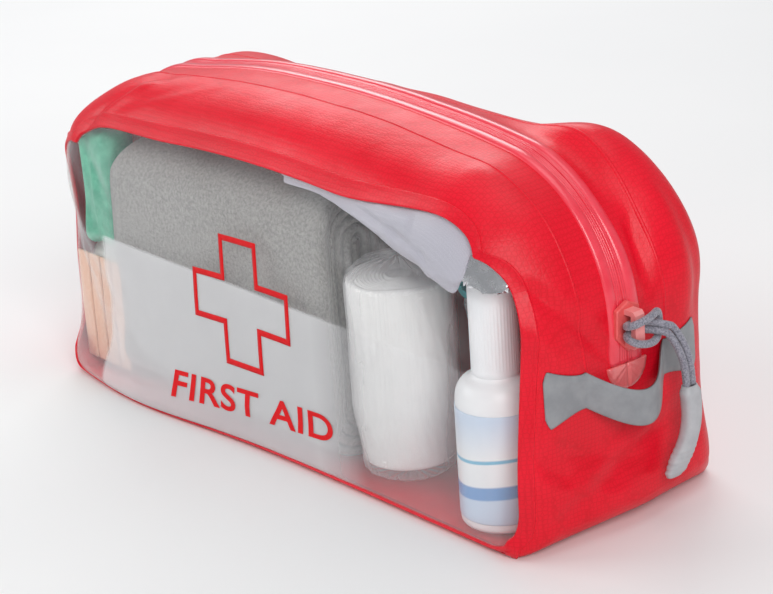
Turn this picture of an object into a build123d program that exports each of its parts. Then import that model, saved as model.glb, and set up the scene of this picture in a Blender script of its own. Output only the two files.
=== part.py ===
"""First aid kit: a zipped, welded waterproof pouch with a clear front window and its contents.

Frame: +X to the slider end, -Y to the window, +Z up, origin at the middle of the flat bottom.
"""

import os
from math import pi, radians, sin, sqrt, tan

from build123d import *

# ---------------------------------------------------------------- driving dimensions (mm)
LENGTH = 292.0
DEPTH = 103.0
HEIGHT = 140.0
WALL = 1.0
CROWN_R = 600.0  # gentle arch of the top, seen from the front
SHOULDER_R = 55.0  # end shoulders that the zip runs over
BOTTOM_R = 9.0
TOP_EDGE_R = 30.0  # long rounded edge between the ridge and the front or rear face
PLAN_R = 14.0  # upright corners

STOP_Z = 62.0  # height of the zip's two ends, and of the front lip's fold line
GAP = 0.3  # running clearance between bodies
BASE_Z = 12.0  # top edge of the bottom panel

WINDOW_LEFT = -141.0
WINDOW_RIGHT = 141.0
WINDOW_BOTTOM = 5.0
WINDOW_TOP = 116.0
WINDOW_TOP_R = 30.0
WINDOW_BOTTOM_R = 16.0
FILM = 0.5

TAPE_HALF = 6.0
COIL_HALF = 1.5
COIL_PROUD = 0.8
GARAGE_R = 9.0

SLIDER_Z = 75.5
SLIDER_LIFT = 1.3  # underside of the slider plate above the end panel
PLATE = 1.8
BAIL_OUT = 7.3  # bail bar's centre line, out from the end panel
BAIL_BAR = 2.2
BAIL_WIDTH = 4.6
BAIL_REACH = 8.2  # half of the bail's height

CORD_D = 2.8
GRIP_TOP_Z = 49.5

STRAP_Z = 58.0
STRAP_DROOP = 9.4
STRAP_BOW = 11.0
STRAP_T = 1.2
STRAP_WIDTH = 13.5
STRAP_FLARE = 21.0
STRAP_FRONT_Y = -31.5
STRAP_REAR_Y = 28.7
BRIDGE_FRONT_Y = -21.0
BRIDGE_REAR_Y = 18.5

# ---------------------------------------------------------------- worked out from those
END_X = LENGTH / 2
FACE_Y = DEPTH / 2
ARC_X = END_X - SHOULDER_R
CROWN_Z = HEIGHT - CROWN_R
ARC_Z = CROWN_Z + sqrt((CROWN_R - SHOULDER_R) ** 2 - ARC_X**2)
BAR_X = END_X + BAIL_OUT
FAR = 400.0


# ---------------------------------------------------------------- shared shapes
def block(x, y, z):
    """A box from its (low, high) pairs along the three axes."""
    with BuildPart() as piece:
        with Locations(((x[0] + x[1]) / 2, (y[0] + y[1]) / 2, (z[0] + z[1]) / 2)):
            Box(x[1] - x[0], y[1] - y[0], z[1] - z[0])
    return piece.part


def soft_block(x, y, z, radius):
    """A box with all its edges rounded, for a folded or wrapped soft item."""
    with BuildPart() as piece:
        add(block(x, y, z))
        fillet(piece.edges(), radius)
    return piece.part


def loaf(inset):
    """The pouch's outer form, moved inwards by inset: front, end and plan outlines together."""
    half = END_X - inset
    crown, shoulder = CROWN_R - inset, SHOULDER_R - inset
    bottom = BOTTOM_R - inset
    lean = ARC_X / (CROWN_R - SHOULDER_R)  # sine of the slope where crown and shoulder meet
    rise = sqrt(1 - lean**2)
    meet = (ARC_X + shoulder * lean, ARC_Z + shoulder * rise)
    slant = sin(radians(45 - 0.5 * 9.6))
    mid = (ARC_X + shoulder * sqrt(1 - slant**2), ARC_Z + shoulder * slant)
    turn = bottom * sin(radians(45))
    with BuildPart() as form:
        with BuildSketch(Plane.XZ):
            with BuildLine():
                ThreePointArc((-meet[0], meet[1]), (0, CROWN_Z + crown), meet)
                ThreePointArc(meet, mid, (half, ARC_Z))
                Line((half, ARC_Z), (half, BOTTOM_R))
                ThreePointArc(
                    (half, BOTTOM_R),
                    (END_X - BOTTOM_R + turn, BOTTOM_R - turn),
                    (END_X - BOTTOM_R, inset),
                )
                Line((END_X - BOTTOM_R, inset), (BOTTOM_R - END_X, inset))
                ThreePointArc(
                    (BOTTOM_R - END_X, inset),
                    (BOTTOM_R - END_X - turn, BOTTOM_R - turn),
                    (-half, BOTTOM_R),
                )
                Line((-half, BOTTOM_R), (-half, ARC_Z))
                ThreePointArc((-half, ARC_Z), (-mid[0], mid[1]), (-meet[0], meet[1]))
            make_face()
        extrude(amount=FACE_Y - inset, both=True)
        with BuildSketch(Plane.YZ) as end_view:
            with Locations((0, HEIGHT / 2)):
                Rectangle(DEPTH - 2 * inset, HEIGHT - 2 * inset)
            fillet(end_view.vertices().group_by(Axis.Y)[-1], TOP_EDGE_R - inset)
            fillet(end_view.vertices().group_by(Axis.Y)[0], bottom)
        extrude(amount=END_X, both=True, mode=Mode.INTERSECT)
        with BuildSketch(Plane.XY):
            RectangleRounded(LENGTH - 2 * inset, DEPTH - 2 * inset, PLAN_R - inset)
        extrude(amount=HEIGHT, mode=Mode.INTERSECT)
    return form.part


def skin(outer_inset, inner_inset):
    """A closed skin of the loaf between two insets."""
    with BuildPart() as layer:
        add(loaf(outer_inset))
        add(loaf(inner_inset), mode=Mode.SUBTRACT)
    return layer.part


def cut_to(shape, zone):
    """The part of shape that lies in zone."""
    with BuildPart() as piece:
        add(shape)
        add(zone, mode=Mode.INTERSECT)
    return piece.part


# zones of the pouch
UPPER = (STOP_Z + GAP / 2, HEIGHT + 5)
LOWER = (BASE_Z, STOP_Z - GAP / 2)
lip_zone = block((-FAR, FAR), (-FAR, -GAP / 2), UPPER)
zip_slot = block((-FAR, FAR), (-TAPE_HALF, TAPE_HALF), (STOP_Z, HEIGHT + 5))

with BuildPart() as window_prism:
    with BuildSketch(Plane.XZ.offset(FACE_Y - 24)) as outline:
        with Locations(((WINDOW_LEFT + WINDOW_RIGHT) / 2, (WINDOW_BOTTOM + WINDOW_TOP) / 2)):
            Rectangle(WINDOW_RIGHT - WINDOW_LEFT, WINDOW_TOP - WINDOW_BOTTOM)
        fillet(outline.vertices().group_by(Axis.Y)[-1], WINDOW_TOP_R)
        fillet(outline.vertices().group_by(Axis.Y)[0], WINDOW_BOTTOM_R)
    extrude(amount=30)

wall = skin(0, WALL)

# ---------------------------------------------------------------- pouch shell
with BuildPart() as base_panel:
    add(wall)
    add(block((-FAR, FAR), (-FAR, FAR), (-5, BASE_Z)), mode=Mode.INTERSECT)
    add(window_prism.part, mode=Mode.SUBTRACT)

with BuildPart() as rear_panel:
    add(wall)
    add(block((-FAR, FAR), (GAP / 2, FAR), (BASE_Z, HEIGHT + 5)), mode=Mode.INTERSECT)
    add(zip_slot, mode=Mode.SUBTRACT)

with BuildPart() as front_lower_panel:
    add(wall)
    add(block((-FAR, FAR), (-FAR, GAP / 2), LOWER), mode=Mode.INTERSECT)
    add(window_prism.part, mode=Mode.SUBTRACT)

with BuildPart() as front_upper_panel:
    add(wall)
    add(lip_zone, mode=Mode.INTERSECT)
    add(window_prism.part, mode=Mode.SUBTRACT)
    add(zip_slot, mode=Mode.SUBTRACT)

film = cut_to(skin(0, FILM), window_prism.part)
with BuildPart() as window_lower:
    add(film)
    add(block((-FAR, FAR), (-FAR, 0), (-5, STOP_Z - GAP / 2)), mode=Mode.INTERSECT)

with BuildPart() as window_upper:
    add(film)
    add(lip_zone, mode=Mode.INTERSECT)

# ---------------------------------------------------------------- zip
tape = cut_to(skin(0.1, WALL - 0.1), block((-FAR, FAR), (-TAPE_HALF, TAPE_HALF), UPPER))
with BuildPart() as zip_tape_front:
    add(tape)
    add(block((-FAR, FAR), (-FAR, -COIL_HALF), UPPER), mode=Mode.INTERSECT)

with BuildPart() as zip_tape_rear:
    add(tape)
    add(block((-FAR, FAR), (COIL_HALF, FAR), UPPER), mode=Mode.INTERSECT)

coil = cut_to(skin(-COIL_PROUD, WALL), block((-FAR, FAR), (-COIL_HALF, COIL_HALF), UPPER))
with BuildPart() as zip_coil_front:
    add(coil)
    add(block((-FAR, FAR), (-FAR, -GAP / 2), UPPER), mode=Mode.INTERSECT)

with BuildPart() as zip_coil_rear:
    add(coil)
    add(block((-FAR, FAR), (GAP / 2, FAR), UPPER), mode=Mode.INTERSECT)


def garage(side):
    """Half-moon pad welded over the zip's end, on the +X or -X end panel."""
    with BuildPart() as pad:
        with BuildSketch(Plane.YZ.offset(side * END_X)):
            with Locations((0, STOP_Z - GAP)):
                Circle(GARAGE_R)
            with Locations((0, STOP_Z - GAP + GARAGE_R)):
                Rectangle(3 * GARAGE_R, 2 * GARAGE_R, mode=Mode.SUBTRACT)
        extrude(amount=side * COIL_PROUD)
    return pad.part


zip_garage_right = garage(1)
zip_garage_left = garage(-1)

# ---------------------------------------------------------------- slider
plate_x = END_X + SLIDER_LIFT
with BuildPart() as slider_body:
    with BuildSketch(Plane.YZ.offset(plate_x)):
        with Locations((0, SLIDER_Z)):
            Polygon(
                *((-5.6, 7.0), (0, 9.6), (5.6, 7.0), (6.2, -3.0), (0, -9.6), (-6.2, -3.0)),
                align=None,
            )
    extrude(amount=PLATE)
    fillet(slider_body.edges().filter_by(Axis.X), 1.0)
    chamfer(slider_body.faces().sort_by(Axis.X)[-1].edges(), 0.4)

bail_foot = plate_x + PLATE
bail_top = BAR_X + BAIL_BAR / 2
with BuildPart() as slider_bail:
    with BuildSketch(Plane.XZ):
        with BuildLine():
            Polyline(
                (bail_foot, SLIDER_Z - BAIL_REACH + 1.2),
                (bail_top - 1.0, SLIDER_Z - BAIL_REACH + 1.2),
                (bail_top, SLIDER_Z - BAIL_REACH + 2.6),
                (bail_top, SLIDER_Z + BAIL_REACH - 2.6),
                (bail_top - 1.0, SLIDER_Z + BAIL_REACH - 1.2),
                (bail_foot, SLIDER_Z + BAIL_REACH - 1.2),
                (bail_foot, SLIDER_Z + BAIL_REACH - 3.0),
                (bail_top - BAIL_BAR, SLIDER_Z + BAIL_REACH - 3.0),
                (bail_top - BAIL_BAR, SLIDER_Z - BAIL_REACH + 3.0),
                (bail_foot, SLIDER_Z - BAIL_REACH + 3.0),
                close=True,
            )
        make_face()
    extrude(amount=BAIL_WIDTH / 2, both=True)

# ---------------------------------------------------------------- pull cord and grip
# The cord is hitched round the bail: two runs under the bar, two over it, and a cross run
# behind the two strands that hang down to the grip.
KNOT = (
    (156.3, 12.4, 74.3),
    (150.7, 4.6, 77.0),
    (150.7, -4.6, 77.1),
    (156.2, -4.6, 78.9),
    (156.2, 4.2, 79.9),
    (152.4, 11.6, 79.8),
    (152.4, 11.6, 70.0),
    (156.2, 4.2, 69.6),
    (156.2, -4.6, 72.1),
    (150.7, -4.6, 74.0),
    (150.7, 4.6, 73.9),
    (155.9, 10.2, 72.4),
)
STRAND_REAR = ((156.9, 14.0, 73.4), (158.3, 18.0, 66.0), (158.6, 20.9, 57.6), (158.0, 22.0, GRIP_TOP_Z))
STRAND_FRONT = ((156.9, 11.6, 71.6), (158.3, 15.3, 64.6), (158.6, 18.0, 56.8), (158.0, 19.0, GRIP_TOP_Z))


def route_radii(points):
    """Each corner's radius: 0.45 of its shorter run over the tangent of half the turn."""
    radii = []
    for before, corner, after in zip(points, points[1:], points[2:]):
        arriving = Vector(corner) - Vector(before)
        leaving = Vector(after) - Vector(corner)
        half_turn = radians(arriving.get_angle(leaving)) / 2
        radii.append(0.45 * min(arriving.length, leaving.length) / tan(half_turn))
    return radii


def cord_tube(points, name):
    """Straight runs joined by tangent arcs, swept with the cord's round section."""
    radii = route_radii(points)
    with BuildPart() as tube:
        with BuildLine() as route:
            FilletPolyline(*points, radius=radii)
        start = Vector(points[1]) - Vector(points[0])
        with BuildSketch(Plane(origin=points[0], z_dir=start)):
            Circle(CORD_D / 2)
        sweep(transition=Transition.ROUND)
    length = sum(edge.length for edge in route.edges())
    print(name, "radii", [round(r, 1) for r in radii])
    print(name, "length", round(length, 1), "volume", round(tube.part.volume, 1),
          "section times length", round(pi * (CORD_D / 2) ** 2 * length, 1))
    return tube.part


pull_knot = cord_tube(KNOT, "pull_knot")
with BuildPart() as pull_strands:
    add(cord_tube(STRAND_REAR, "strand_rear"))
    add(cord_tube(STRAND_FRONT, "strand_front"))

# sections of the moulded grip, top to bottom: centre x, centre y, height, width in x, width in y
GRIP_SECTIONS = (
    (158.0, 20.5, GRIP_TOP_Z, 6.0, 8.4),
    (158.6, 21.4, 40.0, 6.0, 7.6),
    (158.6, 19.4, 30.0, 5.6, 8.0),
    (157.6, 14.6, 21.0, 5.2, 10.4),
    (157.2, 12.4, 16.5, 4.0, 9.0),
)
with BuildPart() as pull_grip:
    for x, y, z, wide_x, wide_y in GRIP_SECTIONS:
        with BuildSketch(Plane((x, y, z))):
            Ellipse(wide_x / 2, wide_y / 2)
    loft()


# ---------------------------------------------------------------- grab straps
def bow_points(offset, first_y, last_y, count=9):
    """Points along the strap's plan curve, offset outwards, between two positions along Y."""
    points = []
    for i in range(count):
        y = first_y + (last_y - first_y) * i / (count - 1)
        share = (y - STRAP_FRONT_Y) / (STRAP_REAR_Y - STRAP_FRONT_Y)
        points.append((END_X + offset + STRAP_BOW * abs(sin(pi * share)) ** 1.2, y))
    return points


def strap_solid():
    """The whole dog-bone strap at the +X end: its plan band meets its drooping elevation."""
    front, rear = STRAP_FRONT_Y, STRAP_REAR_Y
    middle = (front + rear) / 2
    low = STRAP_Z - STRAP_DROOP
    flare, waist = STRAP_FLARE / 2, STRAP_WIDTH / 2
    with BuildPart() as strap:
        with BuildSketch(Plane.XY.offset(STRAP_Z - 25)):
            with BuildLine():
                inner = Spline(*bow_points(0.05, front, rear, 13))
                outer = Spline(*bow_points(0.05 + STRAP_T, front, rear, 13))
                Line(inner @ 0, outer @ 0)
                Line(inner @ 1, outer @ 1)
            make_face()
        extrude(amount=45)
        with BuildSketch(Plane.YZ.offset(END_X - 5)):
            with BuildLine():
                top = Spline(
                    *((front, STRAP_Z + flare), (front + 13, STRAP_Z + waist - 2.6),
                      (middle, low + waist), (rear - 13, STRAP_Z + waist - 2.6), (rear, STRAP_Z + flare))
                )
                under = Spline(
                    *((front, STRAP_Z - flare), (front + 13, STRAP_Z - waist - 5.4),
                      (middle, low - waist), (rear - 13, STRAP_Z - waist - 5.4), (rear, STRAP_Z - flare))
                )
                Line(top @ 0, under @ 0)
                Line(top @ 1, under @ 1)
            make_face()
        extrude(amount=30, mode=Mode.INTERSECT)
    return strap.part


def strap_pad(outer_y, inner_y):
    """Flat welded end of the strap, on the +X end panel, ending below the fold line."""
    with BuildPart() as pad:
        add(block((END_X, END_X + STRAP_T), (min(outer_y, inner_y), max(outer_y, inner_y)),
                  (STRAP_Z - STRAP_FLARE / 2, STOP_Z - GAP)))
        fillet(pad.edges().filter_by(Axis.X), 2.0)
    return pad.part


strap = strap_solid()
PAD = 6.0
with BuildPart() as strap_right_anchors:
    add(cut_to(strap, block((0, FAR), (STRAP_FRONT_Y, BRIDGE_FRONT_Y - GAP), (0, STOP_Z - GAP))))
    add(cut_to(strap, block((0, FAR), (BRIDGE_REAR_Y + GAP, STRAP_REAR_Y), (0, FAR))))
    add(strap_pad(STRAP_FRONT_Y - PAD, STRAP_FRONT_Y))
    add(strap_pad(STRAP_REAR_Y, STRAP_REAR_Y + PAD))

with BuildPart() as strap_right_bridge:
    add(strap)
    add(block((0, FAR), (BRIDGE_FRONT_Y, BRIDGE_REAR_Y), (0, FAR)), mode=Mode.INTERSECT)

with BuildPart() as strap_left_anchors:
    add(mirror(strap_right_anchors.part, about=Plane.YZ, mode=Mode.PRIVATE))

with BuildPart() as strap_left_bridge:
    add(mirror(strap_right_bridge.part, about=Plane.YZ, mode=Mode.PRIVATE))

# ---------------------------------------------------------------- contents
FLOOR = WALL + 0.3
EDGE_FLOOR = 3.0  # for items that stand over the rounded edge of the bottom
ITEM_FRONT = -FACE_Y + 2.5

folded_blanket = soft_block((-102, 36.2), (ITEM_FRONT, -6), (FLOOR, 111), 8.0)

with BuildPart() as nylon_pouch:
    with BuildSketch(Plane.XZ.offset(3)) as pouch_side:
        Polygon(
            *((16, 111.6), (37, 111.6), (37, 97.4), (103, 97.4), (103, 102.6), (116, 102.6),
              (116, 115), (108, 119), (16, 119)),
            align=None,
        )
        fillet(pouch_side.vertices(), 2.0)
    extrude(amount=42)

foil_blanket = soft_block((116.8, 130), (-44, -6), (102.6, 111), 3.0)

ROLL_X, ROLL_Y, ROLL_R = 58.0, -27.0, 20.2
with BuildPart() as bandage_roll:
    with BuildSketch(Plane.XY.offset(8)):
        with Locations((ROLL_X, ROLL_Y)):
            Circle(ROLL_R)
            Circle(4.0, mode=Mode.SUBTRACT)
    extrude(amount=74)

with BuildPart() as bandage_wrapper:
    with BuildSketch(Plane.XY.offset(EDGE_FLOOR)):
        with Locations((ROLL_X, ROLL_Y)):
            Circle(ROLL_R + 0.9)
    extrude(amount=90 - EDGE_FLOOR)
    fillet(bandage_wrapper.edges(), 6.0)
    offset(amount=-0.4, kind=Kind.INTERSECTION, mode=Mode.SUBTRACT)

BOTTLE_X, BOTTLE_Y, BOTTLE_R = 114.0, -33.0, 15.3
NECK_Z = 62.0
with BuildPart() as spray_bottle:
    with BuildSketch(Plane.XZ) as bottle_half:
        with BuildLine():
            Polyline(
                *((0, EDGE_FLOOR), (BOTTLE_R - 2, EDGE_FLOOR), (BOTTLE_R, EDGE_FLOOR + 2),
                  (BOTTLE_R, 50), (13, 57), (7, 60), (7, NECK_Z + 6), (4.6, NECK_Z + 6),
                  (4.6, 58.5), (12, 55.5), (14.1, 49), (14.1, EDGE_FLOOR + 2.4),
                  (12.8, EDGE_FLOOR + 1.2), (0, EDGE_FLOOR + 1.2)),
                close=True,
            )
        make_face()
    revolve(axis=Axis.Z)
spray_bottle.part.position = (BOTTLE_X, BOTTLE_Y, 0)

with BuildPart() as bottle_label:
    with BuildSketch(Plane.XY.offset(7)):
        with Locations((BOTTLE_X, BOTTLE_Y)):
            Circle(BOTTLE_R + 0.2)
            Circle(BOTTLE_R, mode=Mode.SUBTRACT)
    extrude(amount=42)

with BuildPart() as spray_pump:
    with BuildSketch(Plane.XY.offset(NECK_Z + 6)):
        with Locations((BOTTLE_X, BOTTLE_Y)):
            Circle(6.6)
    extrude(amount=4)
    with BuildSketch(Plane.XY.offset(NECK_Z + 10)):
        with Locations((BOTTLE_X, BOTTLE_Y)):
            Circle(3.4)
    extrude(amount=20)

with BuildPart() as dip_tube:
    with BuildSketch(Plane.XY.offset(5)):
        with Locations((BOTTLE_X, BOTTLE_Y)):
            Circle(1.4)
            Circle(0.8, mode=Mode.SUBTRACT)
    extrude(amount=NECK_Z + 1)

CAP_R = 9.5
with BuildPart() as spray_cap:
    with BuildSketch(Plane.XY.offset(60.2)):
        with Locations((BOTTLE_X, BOTTLE_Y)):
            Circle(CAP_R)
    extrude(amount=40)
    fillet(spray_cap.faces().sort_by(Axis.Z)[-1].edges(), 1.6)
    with BuildSketch(Plane.XY.offset(60.2)):
        with Locations((BOTTLE_X, BOTTLE_Y)):
            Circle(CAP_R - 1.2)
    extrude(amount=38.6, mode=Mode.SUBTRACT)

SCISSORS_X, SCISSORS_PIVOT_Z = 89.6, 52.0
SCISSORS_Y = -12.5


def scissor_half(side, y):
    """One blade and one finger ring, mirrored by side, in the layer whose front is at y."""
    with BuildPart() as half:
        with BuildSketch(Plane.XZ.offset(-y)):
            with Locations((SCISSORS_X, SCISSORS_PIVOT_Z)):
                Polygon(
                    *((-3.2 * side, -4), (-2.6 * side, -44), (0.4 * side, -46), (3.4 * side, -6),
                      (4.2 * side, 6), (8.6 * side, 20), (8.2 * side, 24), (5.0 * side, 24),
                      (4.4 * side, 21), (-2.0 * side, 7)),
                    align=None,
                )
                Circle(4.5)
        extrude(amount=1.6)
        with BuildSketch(Plane.XZ.offset(-y)):
            with Locations((SCISSORS_X, SCISSORS_PIVOT_Z)):
                Circle(1.6)
        extrude(amount=1.6, mode=Mode.SUBTRACT)
    return half.part


def finger_ring(side):
    """Moulded handle ring around the shank of one scissor half."""
    with BuildPart() as ring:
        with BuildSketch(Plane.XZ.offset(-SCISSORS_Y)):
            with Locations((SCISSORS_X + 7.0 * side, SCISSORS_PIVOT_Z + 33.5)):
                Ellipse(6.6, 11.0)
                Ellipse(4.2, 8.4, mode=Mode.SUBTRACT)
        extrude(amount=3.6)
    return ring.part


scissor_blade_left = scissor_half(1, SCISSORS_Y)
scissor_blade_right = scissor_half(-1, SCISSORS_Y - 1.8)
scissor_ring_left = finger_ring(-1)
scissor_ring_right = finger_ring(1)
with BuildPart() as scissor_rivet:
    with BuildSketch(Plane.XZ.offset(-SCISSORS_Y)):
        with Locations((SCISSORS_X, SCISSORS_PIVOT_Z)):
            Circle(1.6)
    extrude(amount=3.4)

glove_pack = soft_block((-129, -103), (-46, -30), (58, 112), 3.0)
dressing_pack = soft_block((-138, -103), (-40, -16), (FLOOR, 57), 3.0)
with BuildPart() as plaster_strips:
    for i in range(4):
        low = EDGE_FLOOR + 1.0 + 0.5 * i
        add(block((-136.5 + 8.5 * i, -128.7 + 8.5 * i), (-46.5, -44.5), (low, low + 48)))

# ---------------------------------------------------------------- labels and files
PIECES = {
    "base_panel": base_panel.part,
    "rear_panel": rear_panel.part,
    "front_lower_panel": front_lower_panel.part,
    "front_upper_panel": front_upper_panel.part,
    "window_lower": window_lower.part,
    "window_upper": window_upper.part,
    "zip_tape_front": zip_tape_front.part,
    "zip_tape_rear": zip_tape_rear.part,
    "zip_coil_front": zip_coil_front.part,
    "zip_coil_rear": zip_coil_rear.part,
    "zip_garage_right": zip_garage_right,
    "zip_garage_left": zip_garage_left,
    "slider_body": slider_body.part,
    "slider_bail": slider_bail.part,
    "pull_knot": pull_knot,
    "pull_strands": pull_strands.part,
    "pull_grip": pull_grip.part,
    "strap_right_anchors": strap_right_anchors.part,
    "strap_right_bridge": strap_right_bridge.part,
    "strap_left_anchors": strap_left_anchors.part,
    "strap_left_bridge": strap_left_bridge.part,
    "folded_blanket": folded_blanket,
    "nylon_pouch": nylon_pouch.part,
    "foil_blanket": foil_blanket,
    "bandage_roll": bandage_roll.part,
    "bandage_wrapper": bandage_wrapper.part,
    "spray_bottle": spray_bottle.part,
    "bottle_label": bottle_label.part,
    "spray_pump": spray_pump.part,
    "dip_tube": dip_tube.part,
    "spray_cap": spray_cap.part,
    "scissor_blade_left": scissor_blade_left,
    "scissor_blade_right": scissor_blade_right,
    "scissor_ring_left": scissor_ring_left,
    "scissor_ring_right": scissor_ring_right,
    "scissor_rivet": scissor_rivet.part,
    "glove_pack": glove_pack,
    "dressing_pack": dressing_pack,
    "plaster_strips": plaster_strips.part,
}

os.makedirs("parts", exist_ok=True)
for name, piece in PIECES.items():
    piece.label = name
    export_step(piece, f"parts/{name}.step")
print(len(PIECES), "nodes written")
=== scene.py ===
"""Looks of a first aid kit: a welded red pouch with a clear window, a zip, two grab straps and its contents.

Lengths are in millimetres until a mesh is made. +X is the slider end, -Y the window, +Z up.
"""
import math

import bmesh
import bpy
import numpy as np
from mathutils import Matrix


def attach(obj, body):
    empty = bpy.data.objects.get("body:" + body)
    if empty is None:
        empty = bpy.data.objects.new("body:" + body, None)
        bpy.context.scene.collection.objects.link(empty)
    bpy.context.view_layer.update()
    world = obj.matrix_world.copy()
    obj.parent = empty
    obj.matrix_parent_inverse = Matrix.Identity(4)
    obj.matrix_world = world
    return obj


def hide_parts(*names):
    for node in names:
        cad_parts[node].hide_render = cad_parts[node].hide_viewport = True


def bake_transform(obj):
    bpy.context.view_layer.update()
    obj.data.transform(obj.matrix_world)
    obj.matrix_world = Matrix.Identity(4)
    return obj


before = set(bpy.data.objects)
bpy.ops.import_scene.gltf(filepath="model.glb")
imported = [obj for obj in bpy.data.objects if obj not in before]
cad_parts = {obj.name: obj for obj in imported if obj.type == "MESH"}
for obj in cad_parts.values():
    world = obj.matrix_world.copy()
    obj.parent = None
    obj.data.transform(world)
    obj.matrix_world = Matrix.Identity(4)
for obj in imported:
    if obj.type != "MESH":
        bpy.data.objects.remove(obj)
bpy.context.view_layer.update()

MM = 0.001

# ---------------------------------------------------------------- the pouch's driving sizes
END_X = 146.0
FACE_Y = 51.5
HEIGHT = 140.0
CROWN_R = 600.0
SHOULDER_R = 55.0
LOW_R = 10.0  # the slider end's corner at the bottom, seen from the front
LOW_R_LEFT = 18.0  # the other end's
TOP_EDGE = 30.0  # rounding between the ridge and the front or rear face
END_EDGE = 16.0
LOW_EDGE = 4.0
ARC_X = END_X - SHOULDER_R
CROWN_Z = HEIGHT - CROWN_R
ARC_Z = CROWN_Z + math.sqrt((CROWN_R - SHOULDER_R) ** 2 - ARC_X ** 2)
FLAT_TOP = ARC_Z + SHOULDER_R
CROWN_END = ARC_X * CROWN_R / (CROWN_R - SHOULDER_R)
WALL = 0.8
CELL = 1.7

STOP_Z = 62.0
LIP_TOP = 105.0
SLOT_HALF = 6.0
WELD_LINE = 20.0  # how far the weld lines beside the zip lie from its middle
GARAGE_R = 9.6

WINDOW_X = 141.0
WINDOW_LOW = 5.0
WINDOW_HIGH = 116.0
WINDOW_TOP_R = 24.0
WINDOW_FOOT = 3.0  # the lower edge on the flattened front
WINDOW_LOW_R = 16.0

LIP_BEND = ("root", "front_lip", (0, 0, STOP_Z * MM), (0, 0, LIP_TOP * MM))


# ---------------------------------------------------------------- numbers and noise
def ease(t):
    """A smooth step from 0 at 0 to 1 at 1."""
    t = np.clip(t, 0, 1)
    return t * t * (3 - 2 * t)


def unit(vectors):
    return vectors / np.maximum(np.linalg.norm(vectors, axis=-1, keepdims=True), 1e-9)


def noise(points, size, seed=0):
    """Smooth noise from -1 to 1 whose lumps are about size across; size is one number or three."""
    table = np.random.RandomState(seed).uniform(-1, 1, (24, 24, 24))
    at = np.asarray(points, float) / np.asarray(size, float) + 96.0
    low = np.floor(at).astype(int)
    part = ease(at - low)
    total = np.zeros(len(at))
    for corner in np.ndindex(2, 2, 2):
        pick = np.array(corner)
        weight = np.prod(np.where(pick == 1, part, 1 - part), axis=1)
        i, j, k = ((low + pick) % 24).T
        total += weight * table[i, j, k]
    return total


def ridges(points, size, seed=0):
    """Noise with sharp crests, from 0 to 1."""
    return 1 - np.minimum(1, 2.2 * np.abs(noise(points, size, seed)))


def crease(points, start, end, width):
    """1 on the line from start to end, falling away sideways and towards its two tips."""
    start, end = np.array(start, float), np.array(end, float)
    run = end - start
    share = np.clip((points - start) @ run / (run @ run), 0, 1)
    away = np.linalg.norm(points - start - share[:, None] * run, axis=1)
    return np.exp(-((away / width) ** 2)) * np.sin(np.pi * (0.08 + 0.84 * share)) ** 0.8


def lump(points, centre, size):
    """1 at the centre, falling away over size, one number or three."""
    away = (points - np.array(centre, float)) / np.asarray(size, float)
    return np.exp(-np.sum(away ** 2, axis=1))


# ---------------------------------------------------------------- mesh making
def put(name, data):
    """A new object of the data, linked into the scene."""
    thing = bpy.data.objects.new(name, data)
    bpy.context.scene.collection.objects.link(thing)
    return thing


def walk(line):
    """How far along the line each of its points lies."""
    return np.concatenate([[0], np.cumsum(np.linalg.norm(np.diff(line, axis=0), axis=1))])


def grid_quads(index):
    """Quads between neighbours in a grid of point numbers."""
    return np.stack([index[:-1, :-1], index[1:, :-1], index[1:, 1:], index[:-1, 1:]], -1).reshape(-1, 4)


def box_grid(xs, ys, zs):
    """The skin of a box as one closed grid: its points, and its quads facing outwards."""
    shape = (len(xs), len(ys), len(zs))
    skin = np.zeros(shape, bool)
    for axis in range(3):
        np.moveaxis(skin, axis, 0)[[0, -1]] = True
    index = -np.ones(shape, int)
    index[skin] = np.arange(skin.sum())
    points = np.stack(np.meshgrid(xs, ys, zs, indexing="ij"), -1)[skin]
    quads = []
    for axis in range(3):
        layers = np.moveaxis(index, axis, 0)
        for end in (0, -1):
            quad = grid_quads(layers[end])
            outward = (end == -1) != (axis == 1)
            quads.append(quad if outward else quad[:, ::-1])
    return points, np.concatenate(quads)


def steps(*marks, cell=CELL):
    """Evenly spaced numbers through all the marks, about a cell apart."""
    runs = []
    for low, high in zip(marks, marks[1:]):
        count = max(1, round((high - low) / cell))
        runs.append(np.linspace(low, high, count + 1)[:-1])
    return np.concatenate(runs + [[marks[-1]]])


def ring_faces(rows, ring, loop=False):
    """Faces of a tube made of rows of closed rings; loop joins its ends, else they are capped."""
    index = np.arange(rows * ring).reshape(rows, ring)
    ahead = np.roll(index, -1, axis=0) if loop else index[1:]
    here = index if loop else index[:-1]
    quads = np.stack([here, np.roll(here, -1, 1), np.roll(ahead, -1, 1), ahead], -1)
    faces = quads.reshape(-1, 4).tolist()
    if not loop:
        faces.append(index[0][::-1].tolist())
        faces.append(index[-1].tolist())
    return faces


def piece(name, points, faces, skin, body="root", bend=None, stands_for=(), normals=None,
          smooth=True):
    """A mesh object that rides on a body, or, when given a bend, is left unparented where it lies."""
    mesh = bpy.data.meshes.new(name)
    faces = faces.tolist() if isinstance(faces, np.ndarray) else faces
    mesh.from_pydata((np.asarray(points, float) * MM).tolist(), [], faces)
    mesh.polygons.foreach_set("use_smooth", [smooth] * len(mesh.polygons))
    mesh.update()
    if normals is not None:
        mesh.normals_split_custom_set_from_vertices(normals)
    mesh.materials.append(skin)
    thing = put(name, mesh)
    if bend:
        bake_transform(thing)
    else:
        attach(thing, body)
    if stands_for:
        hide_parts(*stands_for)
    return thing


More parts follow.
